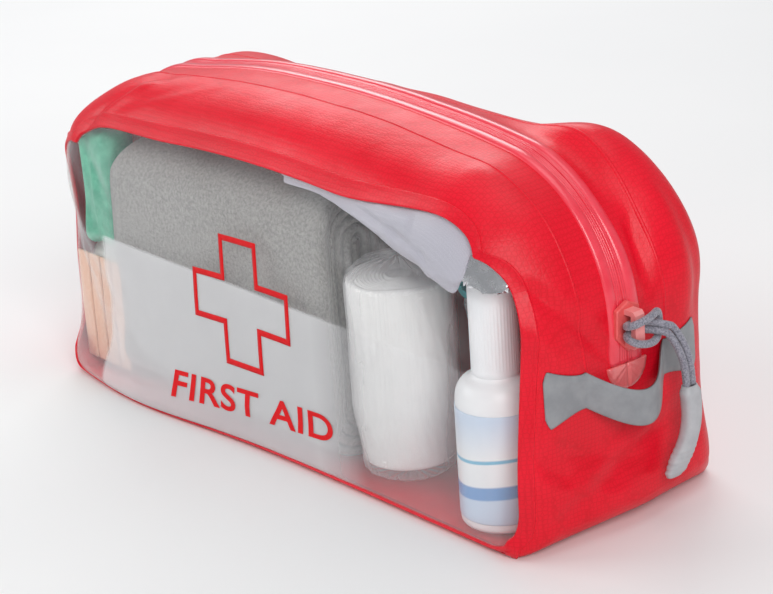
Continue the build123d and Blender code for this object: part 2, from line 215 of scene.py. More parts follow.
def vertex_normals(points, quads):
    corners = points[quads]
    across = np.cross(corners[:, 2] - corners[:, 0], corners[:, 3] - corners[:, 1])
    total = np.zeros_like(points)
    for k in range(4):
        np.add.at(total, quads[:, k], across)
    return unit(total)


def thick_sheet(quads, outer, inner, normals):
    """A closed shell from some quads of a larger grid, with a rim along its free edges."""
    used, flat = np.unique(quads, return_inverse=True)
    flat = flat.reshape(quads.shape)
    count = len(used)
    edges = np.concatenate([flat[:, [k, (k + 1) % 4]] for k in range(4)])
    key = np.sort(edges, axis=1) @ np.array([count, 1])
    once = np.unique(key, return_index=True, return_counts=True)
    rim = edges[once[1][once[2] == 1]]
    walls = np.stack([rim[:, 1], rim[:, 0], rim[:, 0] + count, rim[:, 1] + count], 1)
    faces = np.concatenate([flat, flat[:, ::-1] + count, walls])
    points = np.concatenate([outer[used], inner[used]])
    return points, faces, np.concatenate([normals[used], -normals[used]])


# ---------------------------------------------------------------- the pouch's surface
def rest_form(box_points):
    """Where points of the unwrapped box lie on the smooth pouch, and the way out from there."""
    x, y, z = box_points.T
    side = np.where(x < 0, -1.0, 1.0)
    across = np.abs(x)
    gaps = np.stack([END_X - across, FLAT_TOP - z, z])
    depth = gaps.min(axis=0)
    nearest = gaps.argmin(axis=0)
    out_x = np.where(nearest == 0, side, 0.0)
    out_z = np.where(nearest == 1, 1.0, np.where(nearest == 2, -1.0, 0.0))
    foot_x = x + out_x * depth
    foot_z = z + out_z * depth
    edge = np.where(nearest == 1, TOP_EDGE, LOW_EDGE)
    upright = END_EDGE + (TOP_EDGE - END_EDGE) * ease((z - 25) / (ARC_Z - 25))
    edge = np.where(nearest == 0, upright, edge)
    low_r = np.where(x < 0, LOW_R_LEFT, LOW_R)
    for radius, centre_z, way, edge_end in (
        (SHOULDER_R, ARC_Z, 1, TOP_EDGE),
        (low_r, low_r, -1, LOW_EDGE),
    ):
        centre_x = END_X - radius
        a = (across - centre_x) / radius
        b = way * (z - centre_z) / radius
        corner = (a > 0) & (b > 0)
        reach = np.maximum(np.hypot(a, b), 1e-9)
        turn_x, turn_z = a / reach, b / reach
        out_x = np.where(corner, side * turn_x, out_x)
        out_z = np.where(corner, way * turn_z, out_z)
        depth = np.where(corner, radius * (1 - np.maximum(a, b)), depth)
        foot_x = np.where(corner, side * (centre_x + radius * turn_x), foot_x)
        foot_z = np.where(corner, centre_z + way * radius * turn_z, foot_z)
        blended = upright * turn_x ** 2 + edge_end * turn_z ** 2
        edge = np.where(corner, blended, edge)
    face = np.sign(y)
    inset = FACE_Y - np.abs(y)
    a = np.clip((edge - depth) / edge, 0, None)
    b = np.clip((edge - inset) / edge, 0, None)
    reach = np.maximum(np.hypot(a, b), 1e-9)
    rounded = (a > 0) & (b > 0)
    on_face = inset < 1e-6
    depth = np.where(rounded, edge * (1 - a / reach), depth)
    inset = np.where(rounded, edge * (1 - b / reach), inset)
    flat_out = np.where(rounded, a / reach, np.where(on_face, 0.0, 1.0))
    face_out = np.where(rounded, b / reach, np.where(on_face, 1.0, 0.0))
    px = foot_x - out_x * depth
    pz = foot_z - out_z * depth
    py = face * (FACE_Y - inset)
    crown = CROWN_Z + np.sqrt(CROWN_R ** 2 - np.minimum(np.abs(px), CROWN_END) ** 2)
    arc = np.sqrt(SHOULDER_R ** 2 - np.clip(np.abs(px) - ARC_X, 0, SHOULDER_R) ** 2) + ARC_Z
    rise = np.where(np.abs(px) < CROWN_END, np.maximum(0, crown - arc), 0)
    pz = pz + rise * np.clip(pz / FLAT_TOP, 0, 1)
    normal = np.stack([out_x * flat_out, face * face_out, out_z * flat_out], 1)
    return np.stack([px, py, pz], 1), unit(normal)


def window_reach(u, w):
    """How far the window reaches from the middle at height w on the flattened front."""
    return 143.2 + 6.6 * ease((w - 25) / 70) - np.where(u < 0, 2.6, 0)


def window_top(u):
    """Height of the window's upper edge, which lifts over the shoulders."""
    lift = np.where(u > 0, 14.5, 5.5)
    return 113.5 + lift * ease((np.abs(u) - 50) / 74)


def window_gap(u, w):
    """Distance outside the window's outline on the flattened front, negative inside it."""
    middle = (WINDOW_LOW + WINDOW_HIGH) / 2
    x = u * WINDOW_X / window_reach(u, w)
    above = (w - middle) * (WINDOW_HIGH - middle) / (window_top(u) - middle)
    below = (w - middle) * (middle - WINDOW_LOW) / (middle - WINDOW_FOOT)
    z = middle + np.where(w > middle, above, below)
    radius = np.where(z > middle, WINDOW_TOP_R, WINDOW_LOW_R)
    a = np.abs(x) - (WINDOW_X - radius)
    b = np.abs(z - middle) - ((WINDOW_HIGH - WINDOW_LOW) / 2 - radius)
    return np.hypot(np.maximum(a, 0), np.maximum(b, 0)) + np.minimum(np.maximum(a, b), 0) - radius


def flatten(box_points):
    """Where box points lie when the front's surroundings are folded flat round it."""
    x, y, z = np.asarray(box_points, float).T
    wrap = y + FACE_Y
    u = x + np.where(np.abs(x) > END_X - 1e-3, np.sign(x) * wrap, 0)
    w = z + np.where(z > FLAT_TOP - 1e-3, wrap, 0) - np.where(z < 1e-3, wrap, 0)
    return u, w


# Filled places and dents of the cloth: height, centre, size and, where it only shows on one side, which.
CLOTH_LUMPS = (
    (2.4, (60, -50, 48), (95, 60, 46), "front"),
    (2.4, (-60, -50, 40), (60, 60, 40), "front"),
    (3.4, (-60, -50, 4), (95, 30, 18), "front"),
    (6.6, (-86, -50, 4), (52, 30, 18), "front"),
    (3.0, (0, 50, 58), (120, 60, 48), "rear"),
    (1.6, (146, 2, 40), (60, 34, 34), "right"),
    (5.0, (148, 4, 12), (18, 46, 16), "right"),
    (1.6, (-146, 2, 44), (60, 34, 36), "left"),
    (5.5, (118, 24, 128), (32, 22, 20), "beside_zip"),
    (2.5, (84, 26, 136), (26, 20, 18), "beside_zip"),
    (-6.5, (-150, -50, 26), (17, 20, 26), "all"),
    (5.5, (138, 46, 95), (24, 22, 34), "all"),
    (-1.5, (146, 48, 30), (16, 16, 14), "all"),
    (6.5, (-138, -46, 108), (22, 22, 20), "all"),
    (-3.6, (128, 18, 118), (22, 14, 20), "all"),
    (-1.4, (140, -33, 100), (12, 10, 20), "all"),
)

# Creases of the cloth: height, start, end and width.
CLOTH_CREASES = (
    (1.0, (104, -25, 131), (141, -30, 92), 4.0),
    (-1.3, (118, -34, 116), (140, -40, 92), 4.2),
    (-1.1, (146, -42, 10), (146, 18, 34), 4.0),
    (0.9, (146, -38, 20), (146, 24, 42), 4.0),
    (-1.0, (140, 24, 8), (146, 50, 46), 4.0),
    (-2.3, (-120, -36, 112), (-84, -24, 134), 3.6),
    (-1.2, (-132, -40, 100), (-108, -44, 118), 3.0),
    (1.5, (-126, -30, 112), (-92, -18, 134), 3.2),
    (-1.4, (-96, -42, 122), (-60, -30, 132), 3.0),
    (1.1, (-80, -40, 124), (-40, -24, 136), 3.4),
    (-1.6, (132, 34, 118), (146, 40, 62), 4.0),
    (1.2, (128, 26, 122), (146, 30, 70), 4.0),
    (-3.4, (134, 18, 124), (147, 13, 84), 3.4),
    (2.6, (134, 26, 124), (146, 46, 92), 5.0),
    (-2.6, (139, -44, 106), (147, -6, 64), 3.2),
    (2.0, (138, -47, 92), (147, -16, 56), 4.2),
    (-2.2, (146, -46, 44), (148, -26, 20), 2.8),
    (-1.8, (146, -36, 40), (148, 24, 14), 3.6),
    (1.6, (146, -44, 30), (148, 10, 6), 4.0),
    (-2.4, (-112, -46, 112), (-96, -34, 128), 2.6),
    (2.0, (-104, -44, 116), (-88, -30, 132), 3.0),
    (-1.5, (-70, -46, 116), (-60, -30, 130), 2.6),
    (1.0, (146, -14, 30), (146, 34, 10), 4.0),
)

# Crinkles of the window film, all at its own depth: height, start and end as (x, z), and width.
FILM_CREASES = (
    (1.7, (-132, 92), (-96, 40), 5.5),
    (-1.6, (-136, 76), (-112, 22), 4.2),
    (1.2, (-126, 52), (-78, 10), 5.0),
    (-1.2, (-116, 112), (-100, 84), 4.0),
    (0.8, (60, 106), (72, 62), 4.0),
    (-0.8, (128, 104), (136, 50), 4.0),
    (0.7, (-30, 22), (60, 9), 5.0),
    (1.3, (58, 112), (122, 96), 2.8),
    (-1.1, (74, 116), (132, 88), 2.8),
    (0.9, (96, 92), (118, 66), 2.6),
    (-0.9, (44, 92), (104, 84), 3.0),
    (1.0, (-128, 108), (-116, 70), 2.6),
    (-1.0, (-134, 60), (-110, 38), 2.6),
)
FILM_Y = -51.0


def relief(at, normal):
    """How far the fabric stands out from the smooth pouch: filled places, dents and creases."""
    sides = {
        "front": np.clip(-normal[:, 1], 0, 1),
        "rear": np.clip(normal[:, 1], 0, 1),
        "right": np.clip(normal[:, 0], 0, 1),
        "left": np.clip(-normal[:, 0], 0, 1),
        "beside_zip": ease((at[:, 1] - 10) / 12),
        "all": 1.0,
    }
    front, rear = sides["front"], sides["rear"]
    top = np.clip(normal[:, 2], 0, 1)
    base = np.clip(-normal[:, 2], 0, 1)
    height = np.zeros(len(at))
    for amount, centre, size, side in CLOTH_LUMPS:
        height += amount * sides[side] * lump(at, centre, size)
    for amount, start, end, width in CLOTH_CREASES:
        height += amount * crease(at, start, end, width)
    sunken = ease((at[:, 0] + 110) / 60) * ease((112 - at[:, 0]) / 34) * top
    height -= sunken * (8.0 * ease((at[:, 1] - 4) / 26) + 2.0 * ease((-at[:, 1] - 6) / 26))
    height += rear * (0.9 * noise(at, 46, 3) + 0.7 * (ridges(at, (60, 60, 38), 9) - 0.5))
    height += (0.63 * rear + 0.315 * sides["right"] + 0.42 * sides["left"]) * noise(at, (30, 30, 44), 5)
    height += (1 - front) * (1 - base) * 0.35 * noise(at, 17, 7)
    height += top * 0.35 * noise(at, (40, 12, 40), 11)
    return height * (1 - 0.85 * base)


def film_relief(at, gap):
    """The window film's own crinkles, which fade out towards its welded edge."""
    height = 0.35 * noise(at, (46, 40, 30), 21)
    height -= 2.2 * lump(at, (-100, FILM_Y, 30), (26, 40, 24))
    for amount, (x, z), (end_x, end_z), width in FILM_CREASES:
        height += amount * crease(at, (x, FILM_Y, z), (end_x, FILM_Y, end_z), width)
    return ease(-gap / 16) * height


def on_floor(points):
    """Points kept from sinking below the floor."""
    return np.stack([points[:, 0], points[:, 1], np.maximum(points[:, 2], 0)], 1)


def lay(box_points, lift=0.0, film=False):
    """Points laid on the pouch's finished surface, lifted along the way out."""
    box_points = np.asarray(box_points, float).reshape(-1, 3)
    at, normal = rest_form(box_points)
    height = relief(at, normal) + np.asarray(lift)
    if film:
        height = height + film_relief(at, window_gap(*flatten(box_points)))
    return on_floor(at + normal * height[:, None])


def front_box(u, w):
    """Box points for flat places on the front face, wrapped round its ends and its bottom."""
    u, w = np.asarray(u, float), np.asarray(w, float)
    wrap = np.maximum(np.abs(u) - END_X, 0) + np.maximum(-w, 0) + np.maximum(w - FLAT_TOP, 0)
    return np.stack([np.clip(u, -END_X, END_X), -FACE_Y + wrap, np.clip(w, 0, FLAT_TOP)], -1)


def clear_of_skin(points, gap=1.4):
    """Points moved back, where they need it, to stay behind the pouch's front."""
    x, y, z = points.T
    a, b = np.abs(x) - ARC_X, z - ARC_Z
    depth = np.minimum(END_X - np.abs(x), FLAT_TOP + 4 - z)
    depth = np.where((a > 0) & (b > 0), SHOULDER_R - np.hypot(a, b), depth)
    edge = END_EDGE + (TOP_EDGE - END_EDGE) * ease((z - 25) / (ARC_Z - 25))
    room = np.clip(edge - depth, 0, edge - 0.5)
    face = -FACE_Y + edge - np.sqrt(edge ** 2 - room ** 2)
    return np.stack([x, np.maximum(y, face + gap), z], 1)


# ---------------------------------------------------------------- materials
def shader(name, colour, roughness, **sockets):
    """A Principled material; the other sockets are given by name with _ for each space."""
    skin = bpy.data.materials.new(name)
    skin.use_nodes = True
    bsdf = skin.node_tree.nodes["Principled BSDF"]
    bsdf.inputs["Base Color"].default_value = (*colour, 1)
    bsdf.inputs["Roughness"].default_value = roughness
    for socket, value in sockets.items():
        bsdf.inputs[socket.replace("_", " ")].default_value = value
    return skin, skin.node_tree, bsdf


def add(tree, kind, inputs=None, **settings):
    """A node with its settings made and its inputs linked or given."""
    made = tree.nodes.new(kind)
    for key, value in settings.items():
        setattr(made, key, value)
    for key, value in (inputs or {}).items():
        if isinstance(value, bpy.types.NodeSocket):
            tree.links.new(value, made.inputs[key])
        else:
            made.inputs[key].default_value = value
    return made


def place(tree):
    """Real-size coordinates in metres."""
    return add(tree, "ShaderNodeTexCoord").outputs["Object"]


def ramp(tree, factor, *stops):
    """A colour ramp; each stop is (place, colour)."""
    made = add(tree, "ShaderNodeValToRGB", {"Fac": factor})
    while len(made.color_ramp.elements) < len(stops):
        made.color_ramp.elements.new(0.5)
    for element, (where, colour) in zip(made.color_ramp.elements, stops):
        element.position = where
        element.color = (*colour, 1)
    return made.outputs["Color"]


def paint(tree, bsdf, factor, *stops):
    """Base colour from a colour ramp."""
    tree.links.new(ramp(tree, factor, *stops), bsdf.inputs["Base Color"])


def grain(tree, scale, detail=3.0, roughness=0.55, where=None):
    where = where or place(tree)
    inputs = {"Vector": where, "Scale": scale, "Detail": detail, "Roughness": roughness}
    return add(tree, "ShaderNodeTexNoise", inputs).outputs["Fac"]


def calc(tree, operation, a, b=0.0):
    made = add(tree, "ShaderNodeMath", operation=operation)
    for socket, value in zip(made.inputs, (a, b)):
        if isinstance(value, bpy.types.NodeSocket):
            tree.links.new(value, socket)
        else:
            socket.default_value = value
    return made.outputs[0]


def bump(tree, bsdf, *layers):
    """Bump from (height, strength, distance in mm) layers."""
    normal = None
    for height, strength, distance in layers:
        inputs = {"Height": height, "Strength": strength, "Distance": distance * MM}
        if normal:
            inputs["Normal"] = normal
        normal = add(tree, "ShaderNodeBump", inputs).outputs["Normal"]
    tree.links.new(normal, bsdf.inputs["Normal"])


def ripstop(tree, pitch):
    """A fine square net of raised yarns on faces of any direction, from 0 to 1."""
    total = None
    for axis in "XYZ":
        wave = add(
            tree, "ShaderNodeTexWave",
            {"Vector": place(tree), "Scale": math.pi / 10 / (pitch * MM), "Distortion": 0.4,
             "Detail": 1.0, "Detail Scale": 2.0},
            wave_type="BANDS", bands_direction=axis,
        ).outputs["Fac"]
        total = wave if total is None else calc(tree, "MAXIMUM", total, wave)
    return total


def red_fabric():
    """Coated ripstop: a net of tiny raised cells under soft clouds of colour."""
    skin, tree, bsdf = shader("red_fabric", (0.90, 0.012, 0.035), 0.46, Specular_IOR_Level=0.26,
                              Coat_Weight=0.03, Coat_Roughness=0.30)
    cells = add(tree, "ShaderNodeTexVoronoi", {"Vector": place(tree), "Scale": 620.0, "Randomness": 0.35},
                feature="DISTANCE_TO_EDGE").outputs["Distance"]
    net = calc(tree, "MINIMUM", calc(tree, "MULTIPLY", cells, 6.0), 1.0)
    cloud = calc(tree, "MULTIPLY", grain(tree, 26.0), 0.7)
    shade = calc(tree, "ADD", calc(tree, "MULTIPLY", net, 0.22), cloud)
    paint(tree, bsdf, shade, (0.25, (0.66, 0.003, 0.014)), (0.80, (0.90, 0.008, 0.030)))
    rough = ramp(tree, grain(tree, 60.0), (0.3, (0.33,) * 3), (0.7, (0.46,) * 3))
    tree.links.new(rough, bsdf.inputs["Roughness"])
    bump(tree, bsdf, (net, 0.28, 0.10), (grain(tree, 1500.0), 0.12, 0.05), (grain(tree, 110.0), 0.35, 0.7))
    return skin


def plain(name, colour, other, roughness, size, height=0.1, **sockets):
    """A moulded or paper-like surface: two close colours in clouds, with fine grain."""
    skin, tree, bsdf = shader(name, colour, roughness, **sockets)
    paint(tree, bsdf, grain(tree, 1.0 / (size * MM)), (0.35, colour), (0.65, other))
    bump(tree, bsdf, (grain(tree, 3.0 / (size * MM), 4.0), 0.3, height))
    return skin


def clear(name, tint, haze, shine, roughness, painted_reflection_layer=None):
    """A clear sheet: mostly see-through, with reflections, a little haze and, where given, a painted
    reflection.
    """
    skin, tree, bsdf = shader(name, tint, roughness, Specular_IOR_Level=0.6)
    bump(tree, bsdf, (grain(tree, 220.0, 2.0), 0.10, 0.4), (grain(tree, 60.0, 2.0), 0.18, 1.0))
    through = add(tree, "ShaderNodeBsdfTransparent")
    facing = add(tree, "ShaderNodeLayerWeight", {"Blend": 0.5}).outputs["Facing"]
    edge_on = calc(tree, "MULTIPLY", calc(tree, "POWER", facing, 3.0), shine)
    cloud = ramp(tree, grain(tree, 30.0), (0.35, (haze * 0.6,) * 3), (0.7, (haze * 1.4,) * 3))
    factor = calc(tree, "ADD", edge_on, cloud)
    # Where a painted reflection is given, more of the whitish glossy layer shows there.
    if painted_reflection_layer:
        factor = calc(tree, "ADD", factor, painted_reflection_layer(tree))
    factor = calc(tree, "MINIMUM", factor, 0.95)
    mix = add(tree, "ShaderNodeMixShader", {0: factor, 1: through.outputs[0], 2: bsdf.outputs[0]})
    tree.links.new(mix.outputs[0], tree.nodes["Material Output"].inputs["Surface"])
    return skin


def low_painted_reflection(tree):
    """A painted reflection over the lower part of the window, below a level edge and between two upright
    ones.
    """
    parts = add(tree, "ShaderNodeSeparateXYZ", {"Vector": place(tree)})
    wander = calc(tree, "MULTIPLY", grain(tree, 9.0, 1.0), 0.003)
    height = calc(tree, "ADD", parts.outputs["Z"], wander)
    level = ramp(tree, calc(tree, "MULTIPLY", height, 10.0), (0.685, (0.36,) * 3), (0.697, (0.0,) * 3))
    across = calc(tree, "MULTIPLY", calc(tree, "ADD", parts.outputs["X"], 0.11), 5.0)
    span = ramp(tree, across, (0.02, (0.1,) * 3), (0.035, (1.0,) * 3), (0.73, (1.0,) * 3),
                (0.86, (0.12,) * 3))
    return calc(tree, "MULTIPLY", level, span)


def fleece():
    skin, tree, bsdf = shader("blanket_fabric", (0.3, 0.29, 0.27), 0.95, Sheen_Weight=0.35,
                              Sheen_Roughness=0.6)
    fine = grain(tree, 900.0, 4.0)
    paint(tree, bsdf, fine, (0.3, (0.20, 0.195, 0.185)), (0.7, (0.38, 0.37, 0.35)))
    bump(tree, bsdf, (fine, 0.6, 0.5), (grain(tree, 150.0), 0.5, 1.0))
    return skin


def weave(name, colour, dark, pitch, roughness, **sockets):
    skin, tree, bsdf = shader(name, colour, roughness, **sockets)
    net = ripstop(tree, pitch)
    paint(tree, bsdf, net, (0.2, dark), (0.9, colour))
    bump(tree, bsdf, (net, 0.5, 0.12), (grain(tree, 300.0), 0.3, 0.3))
    return skin


def label_paper():
    """White paper with level blue bands."""
    skin, tree, bsdf = shader("label_paper", (0.85, 0.87, 0.9), 0.35, Coat_Weight=0.3)
    parts = add(tree, "ShaderNodeSeparateXYZ", {"Vector": place(tree)})
    swing = calc(tree, "SINE", calc(tree, "MULTIPLY", parts.outputs["X"], 130.0))
    height = calc(tree, "ADD", parts.outputs["Z"], calc(tree, "MULTIPLY", swing, 0.001))
    share = calc(tree, "MULTIPLY", height, 20.0)
    white, pale, blue = (0.94, 0.95, 0.96), (0.62, 0.74, 0.90), (0.13, 0.33, 0.68)
    teal = (0.15, 0.5, 0.72)
    paint(tree, bsdf, share, (0.0, pale), (0.32, pale), (0.335, blue), (0.42, blue), (0.435, white),
          (0.605, white), (0.612, teal), (0.63, teal), (0.64, white), (0.93, pale))
    bump(tree, bsdf, (grain(tree, 700.0), 0.1, 0.05))
    return skin


def braid():
    skin, tree, bsdf = shader("cord_braid", (0.36, 0.34, 0.42), 0.75, Sheen_Weight=0.3)
    paint(tree, bsdf, grain(tree, 1600.0, 2.0), (0.35, (0.15, 0.145, 0.18)), (0.65, (0.36, 0.35, 0.41)))
    bump(tree, bsdf, (grain(tree, 4000.0), 0.4, 0.08))
    return skin


def metal(name, colour, roughness, size):
    skin, tree, bsdf = shader(name, colour, roughness, Metallic=1.0)
    rough = ramp(tree, grain(tree, 1.0 / (size * MM)), (0.3, (roughness * 0.7,) * 3),
                 (0.7, (roughness * 1.4,) * 3))
    tree.links.new(rough, bsdf.inputs["Roughness"])
    bump(tree, bsdf, (grain(tree, 4.0 / (size * MM)), 0.15, 0.1))
    return skin


# Name, two close colours, roughness, cloud size in mm, grain height in mm and other sockets.
PLAIN_SKINS = (
    ("red_print", (0.70, 0.004, 0.008), (0.76, 0.008, 0.012), 0.55, 3, 0.02, ("Specular_IOR_Level", 0.15)),
    # The zip tape's red is pinker than the fabric's: partly the tape's own colour, partly a painted
    # highlight standing in for the pink bands along its top.
    ("zip_tape", (0.86, 0.035, 0.065), (0.90, 0.055, 0.09), 0.30, 6, 0.05,
     ("Coat_Weight", 0.5), ("Coat_Roughness", 0.22)),
    ("zip_coil", (0.45, 0.01, 0.02), (0.52, 0.02, 0.03), 0.4, 1, 0.03),
    ("slider_plastic", (0.80, 0.10, 0.10), (0.84, 0.13, 0.13), 0.42, 2, 0.05),
    ("bail_plastic", (0.86, 0.26, 0.26), (0.88, 0.32, 0.31), 0.40, 2, 0.05),
    ("garage_film", (0.86, 0.16, 0.17), (0.88, 0.22, 0.22), 0.30, 3, 0.03, ("Coat_Weight", 0.4)),
    ("grip_rubber", (0.42, 0.42, 0.44), (0.48, 0.48, 0.50), 0.5, 4, 0.05),
    ("strap_film", (0.24, 0.245, 0.26), (0.29, 0.295, 0.31), 0.45, 6, 0.08, ("Coat_Weight", 0.15)),
    ("dressing_paper", (0.78, 0.84, 0.79), (0.86, 0.89, 0.86), 0.6, 5, 0.1),
    ("plaster_peach", (0.86, 0.50, 0.34), (0.90, 0.58, 0.42), 0.6, 2, 0.08),
    ("bottle_white", (0.92, 0.925, 0.94), (0.95, 0.955, 0.96), 0.35, 8, 0.04),
    ("cap_white", (0.91, 0.92, 0.94), (0.94, 0.945, 0.96), 0.30, 8, 0.03),
    ("pump_white", (0.80, 0.80, 0.82), (0.84, 0.84, 0.86), 0.4, 4, 0.03),
    ("scissor_handle", (0.03, 0.34, 0.36), (0.05, 0.42, 0.43), 0.35, 3, 0.04),
    ("glove_green", (0.06, 0.38, 0.24), (0.12, 0.52, 0.34), 0.42, 5, 0.1),
)


def make_skins():
    skins = {"red_fabric": red_fabric(), "blanket_fabric": fleece(), "label_paper": label_paper(),
             "cord_braid": braid()}
    for row in PLAIN_SKINS:
        name, colour, other, roughness, size, height = row[:6]
        skins[name] = plain(name, colour, other, roughness, size, height, **dict(row[6:]))
    skins["pouch_nylon"] = weave("pouch_nylon", (0.50, 0.49, 0.56), (0.42, 0.41, 0.48), 0.45, 0.42,
                                 Sheen_Weight=0.3)
    skins["bandage_cotton"] = weave("bandage_cotton", (0.97, 0.965, 0.95), (0.86, 0.855, 0.84), 0.8, 0.9)
    skins["foil"] = metal("foil", (0.74, 0.75, 0.78), 0.22, 3)
    skins["scissor_steel"] = metal("scissor_steel", (0.62, 0.63, 0.65), 0.28, 2)
    # The window film carries a painted reflection on its lower part.
    skins["window_film"] = clear("window_film", (0.93, 0.93, 0.95), 0.025, 0.45, 0.10, low_painted_reflection)
    skins["cellophane"] = clear("cellophane", (0.97, 0.97, 0.98), 0.15, 0.9, 0.06)
    skins["tube_clear"] = clear("tube_clear", (0.9, 0.9, 0.92), 0.2, 0.5, 0.15)
    return skins


# ---------------------------------------------------------------- camera, floor and light
def camera():
    data = bpy.data.cameras.new("camera")
    data.sensor_width = 36.0
    data.lens = 101.8
    data.clip_start = 0.02
    data.clip_end = 50.0
    turn = Matrix.Rotation(math.radians(50.86), 4, "Z")
    tip = Matrix.Rotation(math.radians(90 - 20.53), 4, "X")
    roll = Matrix.Rotation(math.radians(-4.04), 4, "Z")
    thing = put("camera", data)
    thing.matrix_world = Matrix.Translation((0.6445, -0.5108, 0.3575)) @ turn @ tip @ roll
    bpy.context.scene.camera = thing


def floor():
    skin, tree, bsdf = shader("floor", (0.86, 0.86, 0.86), 0.7)
    paint(tree, bsdf, grain(tree, 3.0), (0.3, (0.84, 0.84, 0.845)), (0.7, (0.87, 0.87, 0.87)))
    mesh = bpy.data.meshes.new("floor")
    reach = 6.0
    corners = [(-reach, -reach, 0), (reach, -reach, 0), (reach, reach, 0), (-reach, reach, 0)]
    mesh.from_pydata(corners, [], [(0, 1, 2, 3)])
    mesh.materials.append(skin)
    put("floor", mesh)


def soft_light(name, at, towards, size, power):
    data = bpy.data.lights.new(name, "AREA")
    data.shape = "RECTANGLE"
    data.size, data.size_y = size
    data.energy = power
    way = Matrix.Translation(at).to_translation() - Matrix.Translation(towards).to_translation()
    put(name, data).matrix_world = Matrix.Translation(at) @ way.to_track_quat("Z", "Y").to_matrix().to_4x4()


def lights():
    middle = (0, 0, 0.07)
    soft_light("key_light", (1.3, -0.7, 1.0), middle, (0.9, 0.9), 15)
    soft_light("front_light", (-1.15, -0.9, 0.72), middle, (1.0, 0.7), 9)
    soft_light("back_light", (-1.0, 0.75, 0.95), middle, (1.0, 0.6), 8)
    soft_light("top_light", (0.2, 0.3, 1.5), middle, (1.0, 1.0), 5)
    world = bpy.data.worlds.new("studio")
    world.use_nodes = True
    world.node_tree.nodes["Background"].inputs["Color"].default_value = (0.96, 0.98, 1.0, 1)
    world.node_tree.nodes["Background"].inputs["Strength"].default_value = 0.30
    bpy.context.scene.world = world
    bpy.context.scene.view_settings.view_transform = "Standard"


# ---------------------------------------------------------------- the cord and its grip
CORD_D = 2.8
STRAND_REAR = ((156.9, 14.0, 73.4), (158.3, 18.0, 66.0), (158.6, 20.9, 57.6), (158.0, 22.0, 49.5))
KNOT = ((156.3, 12.4, 74.3), (150.7, 4.6, 77.0), (150.7, -4.6, 77.1), (156.2, -4.6, 78.9),
        (156.2, 4.2, 79.9), (152.4, 11.6, 79.8), (152.4, 11.6, 70.0), (156.2, 4.2, 69.6),
        (156.2, -4.6, 72.1), (150.7, -4.6, 74.0), (150.7, 4.6, 73.9), (155.9, 10.2, 72.4))
STRAND_FRONT = ((156.9, 11.6, 71.6), (158.3, 15.3, 64.6), (158.6, 18.0, 56.8), (158.0, 19.0, 49.5))
GRIP = ((158.0, 20.5, 49.5, 6.0, 8.4), (158.6, 21.4, 40.0, 6.0, 7.6), (158.6, 19.4, 30.0, 5.6, 8.0),
        (157.6, 14.6, 21.0, 5.2, 10.4), (157.2, 12.4, 16.5, 4.0, 9.0))


def mesh_of(curve):
    """The mesh that a curve or a text makes; the curve itself is removed."""
    thing = put(curve.name, curve)
    bpy.context.view_layer.update()
    mesh = bpy.data.meshes.new_from_object(thing)
    bpy.data.objects.remove(thing)
    bpy.data.curves.remove(curve)
    return mesh


def smooth_line(points, density):
    """Points along the smooth NURBS line that a route's control points make."""
    curve = bpy.data.curves.new("line", "CURVE")
    curve.dimensions = "3D"
    curve.resolution_u = density
    spline = curve.splines.new("NURBS")
    spline.points.add(len(points) - 1)
    for control, point in zip(spline.points, points):
        control.co = (*[value * MM for value in point], 1)
    spline.order_u = 3
    spline.use_endpoint_u = True
    mesh = mesh_of(curve)
    line = np.array([vertex.co for vertex in mesh.vertices]) / MM
    bpy.data.meshes.remove(mesh)
    return line


def carried_frames(line):
    """Two directions across a line that turn with it and never twist about it."""
    along = unit(np.gradient(line, axis=0))
    first = unit(np.cross(along[0], (0.3, 0.2, 1.0)))
    sides = [first]
    for way in along[1:]:
        last = sides[-1]
        sides.append(unit(last - way * (last @ way)))
    sides = np.array(sides)
    return sides, np.cross(along, sides)


def cord(skins, grip):
    route = tuple(reversed(STRAND_REAR)) + KNOT + STRAND_FRONT
    line = smooth_line(route, 28)
    side, over = carried_frames(line)
    walked = walk(line)
    around = np.linspace(0, 2 * np.pi, 28, endpoint=False)
    strands, lay_length = 7, 9.0
    turn, run = np.meshgrid(around, walked)
    left = np.cos(strands * (turn + 2 * np.pi * run / lay_length))
    right = np.cos(strands * (turn - 2 * np.pi * run / lay_length))
    radius = CORD_D / 2 - 0.10 + 0.11 * np.maximum(left, right)
    ring = line[:, None] + radius[..., None] * (
        np.cos(turn)[..., None] * side[:, None] + np.sin(turn)[..., None] * over[:, None])
    tube = piece("pull_cord", ring.reshape(-1, 3), ring_faces(len(line), len(around)),
                 skins["cord_braid"],
                 bend=("slider", "pull", (0.1545, 0.0125, 0.0760), (0.158, 0.018, 0.064)),
                 stands_for=("pull_knot", "pull_strands"))


